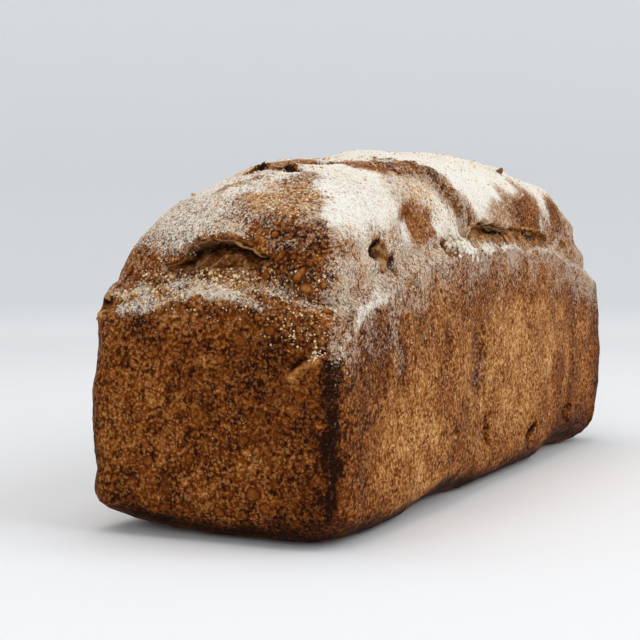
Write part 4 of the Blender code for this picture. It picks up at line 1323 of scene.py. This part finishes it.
def grain_piece(name, parts, material):
    """One piece of all the parts, each its points, faces and shades, which rides with the loaf."""
    points, faces, shades = joined(parts)
    points[:, 2] = np.maximum(points[:, 2], 0)
    piece = made_of(name, points, faces, shade=shades)
    piece.data.materials.append(material)
    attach(piece, "root")


rng = np.random.default_rng(7)
smooth_flat = smooth.reshape(-1, 3)
smooth_ways = way.reshape(-1, 3)

# Golden semolina, coarse ground wheat toasted in the oven: dull grains, pale straw to amber. On the ledge of
# the near end they are coarser and paler.
NEAR_LEDGE = ((-0.151, 0.0, 0.0905), (0.012, 0.042, 0.007))
places, ways = drawn(rng, GOLDEN_SPREAD)
on_ledge = ease(oval(places, *NEAR_LEDGE), 0, 0.5)
widths = 0.0005 + 0.00065 * rng.random(len(places)) ** 2
widths = widths * (1 + 0.3 * on_ledge * rng.random(len(places)))
golden_points, golden_faces, golden_shades = grains(rng, places, ways, widths)
golden_shades = np.clip(golden_shades + 0.2 * np.repeat(on_ledge, len(GRAIN_CORNERS)), 0, 1)
grain_piece(
    "golden_grains", [(golden_points, golden_faces, golden_shades)],
    grain_material(
        "golden_semolina", ((0.0, "#b87a38"), (0.35, "#d3a060"), (0.7, "#e6c48a"), (1.0, "#f0deb8")), 0.8
    ),
)

# White flour in granules, and in lumps where the long tear begins: wheat flour that clotted on the damp
# dough, quite matt and nearly white
LUMP_PLACE = (-0.0315, -0.0478, 0.1018)
LUMP_REACH = (0.01, 0.003, 0.0044)
LUMP_COUNT = 46
places, ways = drawn(rng, FLOUR_SPREAD)
widths = 0.0004 + 0.0004 * rng.random(len(places)) ** 2
lump_places = np.array(LUMP_PLACE) + rng.uniform(-1, 1, (LUMP_COUNT, 3)) * LUMP_REACH
lump_places[:, 2] -= 0.22 * (lump_places[:, 0] - LUMP_PLACE[0])
under_lumps = [nearest(place) for place in lump_places]
lump_widths = 0.0009 + 0.0016 * rng.random(LUMP_COUNT) ** 1.5
grain_piece(
    "flour_granules",
    [grains(rng, places, ways, widths), grains(rng, flat[under_lumps], flat_ways[under_lumps], lump_widths)],
    grain_material("flour_lumps", ((0.0, "#cdb89a"), (0.4, "#e9dfcb"), (1.0, "#f4efe4")), 0.95),
)

# Burnt crumbs at the foot and along the near edge, and flakes of crust where it cracked and tore: dull, from
# nearly black where they are thin to the amber of the crust
SCRAPS = (
    # place, the way of its tip, lift in degrees, length, width, thickness, shade
    ((-0.1085, 0.0046, 0.1312), (0.3, -1.0, 0.0), 6, 0.0036, 0.0036, 0.0014, 0.22),
    ((-0.1095, 0.0, 0.1312), (0.1, -1.0, 0.0), 4, 0.0046, 0.003, 0.0012, 0.55),
    ((-0.1112, -0.0085, 0.1302), (0.5, -1.0, 0.0), 6, 0.003, 0.003, 0.0014, 0.3),
    ((-0.099, -0.01, 0.134), (0.6, -0.6, 0.0), 4, 0.0036, 0.005, 0.0014, 0.9),
    ((-0.09, -0.015, 0.134), (0.6, -0.6, 0.0), 4, 0.0036, 0.0056, 0.0014, 0.85),
    ((-0.082, -0.008, 0.136), (0.6, -0.6, 0.0), 10, 0.0032, 0.0046, 0.0018, 0.8),
    ((-0.06, 0.0, 0.1375), (0.6, -0.6, 0.0), 8, 0.004, 0.005, 0.0018, 0.85),
    ((0.0596, -0.029, 0.1312), (-0.5, -1.0, 0.0), 92, 0.006, 0.0046, 0.0046, 0.58),
    ((0.059, -0.029, 0.1314), (-0.5, -1.0, 0.0), 40, 0.0034, 0.0056, 0.0026, 0.84),
    ((-0.0515, -0.0178, 0.1357), (0.6, -0.6, 0.0), 6, 0.003, 0.004, 0.0018, 0.12),
    ((-0.056, -0.0195, 0.1349), (0.7, -0.6, 0.0), 18, 0.005, 0.004, 0.0018, 0.16),
    ((-0.054, -0.0225, 0.1344), (0.8, -0.5, 0.0), 6, 0.004, 0.0034, 0.0016, 0.42),
    ((-0.049, -0.0205, 0.1355), (0.6, -0.7, -0.1), 4, 0.003, 0.003, 0.0014, 0.25),
    ((-0.02, -0.044, 0.115), (0.4, 0.0, -1.0), 6, 0.0046, 0.0036, 0.0016, 0.55),
    ((-0.1515, 0.045, 0.079), (-0.5, 1.0, 0.3), 20, 0.003, 0.0036, 0.0018, 0.75),
    ((-0.153, 0.047, 0.074), (-0.5, 1.0, 0.0), 24, 0.0026, 0.0036, 0.0018, 0.85),
    ((-0.152, 0.048, 0.068), (-0.5, 1.0, -0.3), 24, 0.0024, 0.003, 0.0016, 0.8),
    ((-0.15, 0.043, 0.086), (-0.4, 1.0, 0.5), 20, 0.0028, 0.004, 0.0016, 0.7),
    ((-0.1495, 0.0425, 0.0868), (-0.2, 1.0, 0.0), 30, 0.0034, 0.005, 0.0014, 0.85),
    ((-0.153, 0.042, 0.0795), (-0.3, 1.0, 0.2), 26, 0.0032, 0.0044, 0.0016, 0.95),
    ((-0.1535, 0.046, 0.0715), (-0.5, 1.0, -0.2), 30, 0.0026, 0.004, 0.0018, 0.7),
    ((0.0258, -0.0141, 0.1403), (0.2, 0.5, 0.1), 60, 0.0024, 0.0026, 0.002, 0.95),
    ((-0.1211, 0.0231, 0.1218), (-0.4, 0.8, 0.4), 70, 0.0034, 0.0034, 0.0026, 1.0),
)
SHREDS = 16
SHRED_RANGES = ((5, 25), (0.0024, 0.0046), (0.0018, 0.004), (0.0008, 0.0016), (0.5, 1.0))
places, ways = drawn(rng, BURNT_SPREAD)
widths = 0.0005 + 0.0011 * rng.random(len(places)) ** 3
burnt_points, burnt_faces, burnt_shades = grains(rng, places, ways, widths)
scraps = [scrap(rng, *values) for values in SCRAPS]
# Shreds hang below the long tear
for along in np.linspace(-0.012, 0.076, SHREDS):
    place = (along + rng.uniform(-0.003, 0.003), -0.046, rng.uniform(0.1015, 0.1055) - 0.05 * max(along, 0))
    tip = (rng.uniform(-1.0, 1.0), 0.0, -1.0)
    # lift, length, width, thickness and shade
    scraps.append(scrap(rng, place, tip, *(rng.uniform(low, high) for low, high in SHRED_RANGES)))
# The torn lips: of the pocket in the end, and of the long tear where it gapes
strips = [
    # wall, lip, how far it stands out, width, thickness, shade, and its start and end along the wall
    lip_strip(rng, "near", BREAKS[0]["lip"], 0.0008, 0.0022, 0.0006, 0.64, -0.0205, 0.0195),
    lip_strip(rng, "front", BREAKS[1]["lip"], 0.0006, 0.0024, 0.0007, 0.66, -0.017, 0.024),
]
grain_piece(
    "burnt_crumbs", [(burnt_points, burnt_faces, 0.6 * burnt_shades), *scraps, *strips],
    grain_material("burnt_crust", ((0.0, "#1c0f08"), (0.5, "#5c3417"), (1.0, "#c08a4f")), 0.75),
)

# The studio floor: one seamless sweep of pale card. It lies flat under the loaf and rises all round it, so
# that it is floor and backdrop in one.
FLOOR_START = 0.25
FLOOR_FLAT = 0.72
FLOOR_REACH = 1.9
FLOOR_RISE = 1.35
FLOOR_TURNS = 96
FLOOR_RINGS = 28
floor_points = [(0.0, 0.0, 0.0)]
for radius in np.linspace(FLOOR_START, FLOOR_REACH, FLOOR_RINGS):
    lift = FLOOR_RISE * max(0.0, radius - FLOOR_FLAT) ** 2
    for turn in np.arange(FLOOR_TURNS) / FLOOR_TURNS * 2 * math.pi:
        floor_points.append((radius * math.cos(turn), radius * math.sin(turn), lift))
floor_faces = [[0, 1 + j, 1 + (j + 1) % FLOOR_TURNS] for j in range(FLOOR_TURNS)]
floor_faces += [face[::-1] for face in between_rings(FLOOR_RINGS, FLOOR_TURNS, first=1)]
floor = made_of("floor", np.array(floor_points), floor_faces)
# Matt white card, painted a soft grey as it climbs: painted shade where the rising sweep gets less light
CARD_SHADE_HEIGHT = 0.4
white_card, card_shader = new_material("white_card")
card_place = add(white_card, "TexCoord", output="Object")
climb = add(white_card, "SeparateXYZ", {"Vector": card_place}, output="Z")
card_colour_with_shade = add(
    white_card, "ValToRGB",
    {"Fac": add(white_card, "MapRange", {"Value": climb, "From Max": CARD_SHADE_HEIGHT})},
    stops=((0.0, "#f0f1f2"), (0.012, "#f1f2f3"), (0.06, "#e2e4e6"), (0.35, "#dcdee1"), (1.0, "#e9ebed")),
)
give(card_shader, {"Base Color": card_colour_with_shade, "Roughness": 0.9, "Specular IOR Level": 0.1})
floor.data.materials.append(white_card)

# Soft studio light: a wide box over the seen side, one above, and a weaker one beside the end. All of them
# aim at the middle of the loaf, and pale air fills the shadows.
SOFT_BOX_AIM = (0, 0, 0.06)
AIR_STRENGTH = 0.3
SOFT_BOXES = (
    # place, size, watts
    ((0.1, -1.15, 1.0), 1.1, 10.0),
    ((-0.1, 0.15, 1.35), 1.3, 9.0),
    ((-1.2, 0.1, 0.75), 0.9, 2.6),
)
for number, (place, size, watts) in enumerate(SOFT_BOXES):
    lamp = bpy.data.lights.new(f"soft_box_{number}", "AREA")
    lamp.energy = watts
    lamp.size = size
    box = bpy.data.objects.new(lamp.name, lamp)
    box.location = place
    box.rotation_euler = (Vector(SOFT_BOX_AIM) - Vector(place)).to_track_quat("-Z", "Y").to_euler()
    bpy.context.scene.collection.objects.link(box)
air = bpy.data.worlds.new("studio_air")
air.use_nodes = True
give(air.node_tree.nodes["Background"], {"Color": linear("#f6f7f9"), "Strength": AIR_STRENGTH})
bpy.context.scene.world = air
bpy.context.scene.view_settings.view_transform = "Standard"

# The camera, where the photograph was taken from: low, in front of the near corner, with a long lens. Its
# place and turn were solved together with the loaf's proportions.
CAMERA_PLACE = (-0.6493, -0.2847, 0.1211)
CAMERA_YAW = math.radians(25.95)
CAMERA_PITCH = math.radians(-4.265)
CAMERA_LENS = 92.8
CAMERA_FILM = 36.0
lens = bpy.data.cameras.new("camera")
lens.lens = CAMERA_LENS
lens.sensor_width = CAMERA_FILM
camera = bpy.data.objects.new("camera", lens)
camera.location = CAMERA_PLACE
looking = Vector((
    math.cos(CAMERA_YAW) * math.cos(CAMERA_PITCH),
    math.sin(CAMERA_YAW) * math.cos(CAMERA_PITCH),
    math.sin(CAMERA_PITCH),
))
camera.rotation_euler = looking.to_track_quat("-Z", "Y").to_euler()
bpy.context.scene.collection.objects.link(camera)
bpy.context.scene.camera = camera
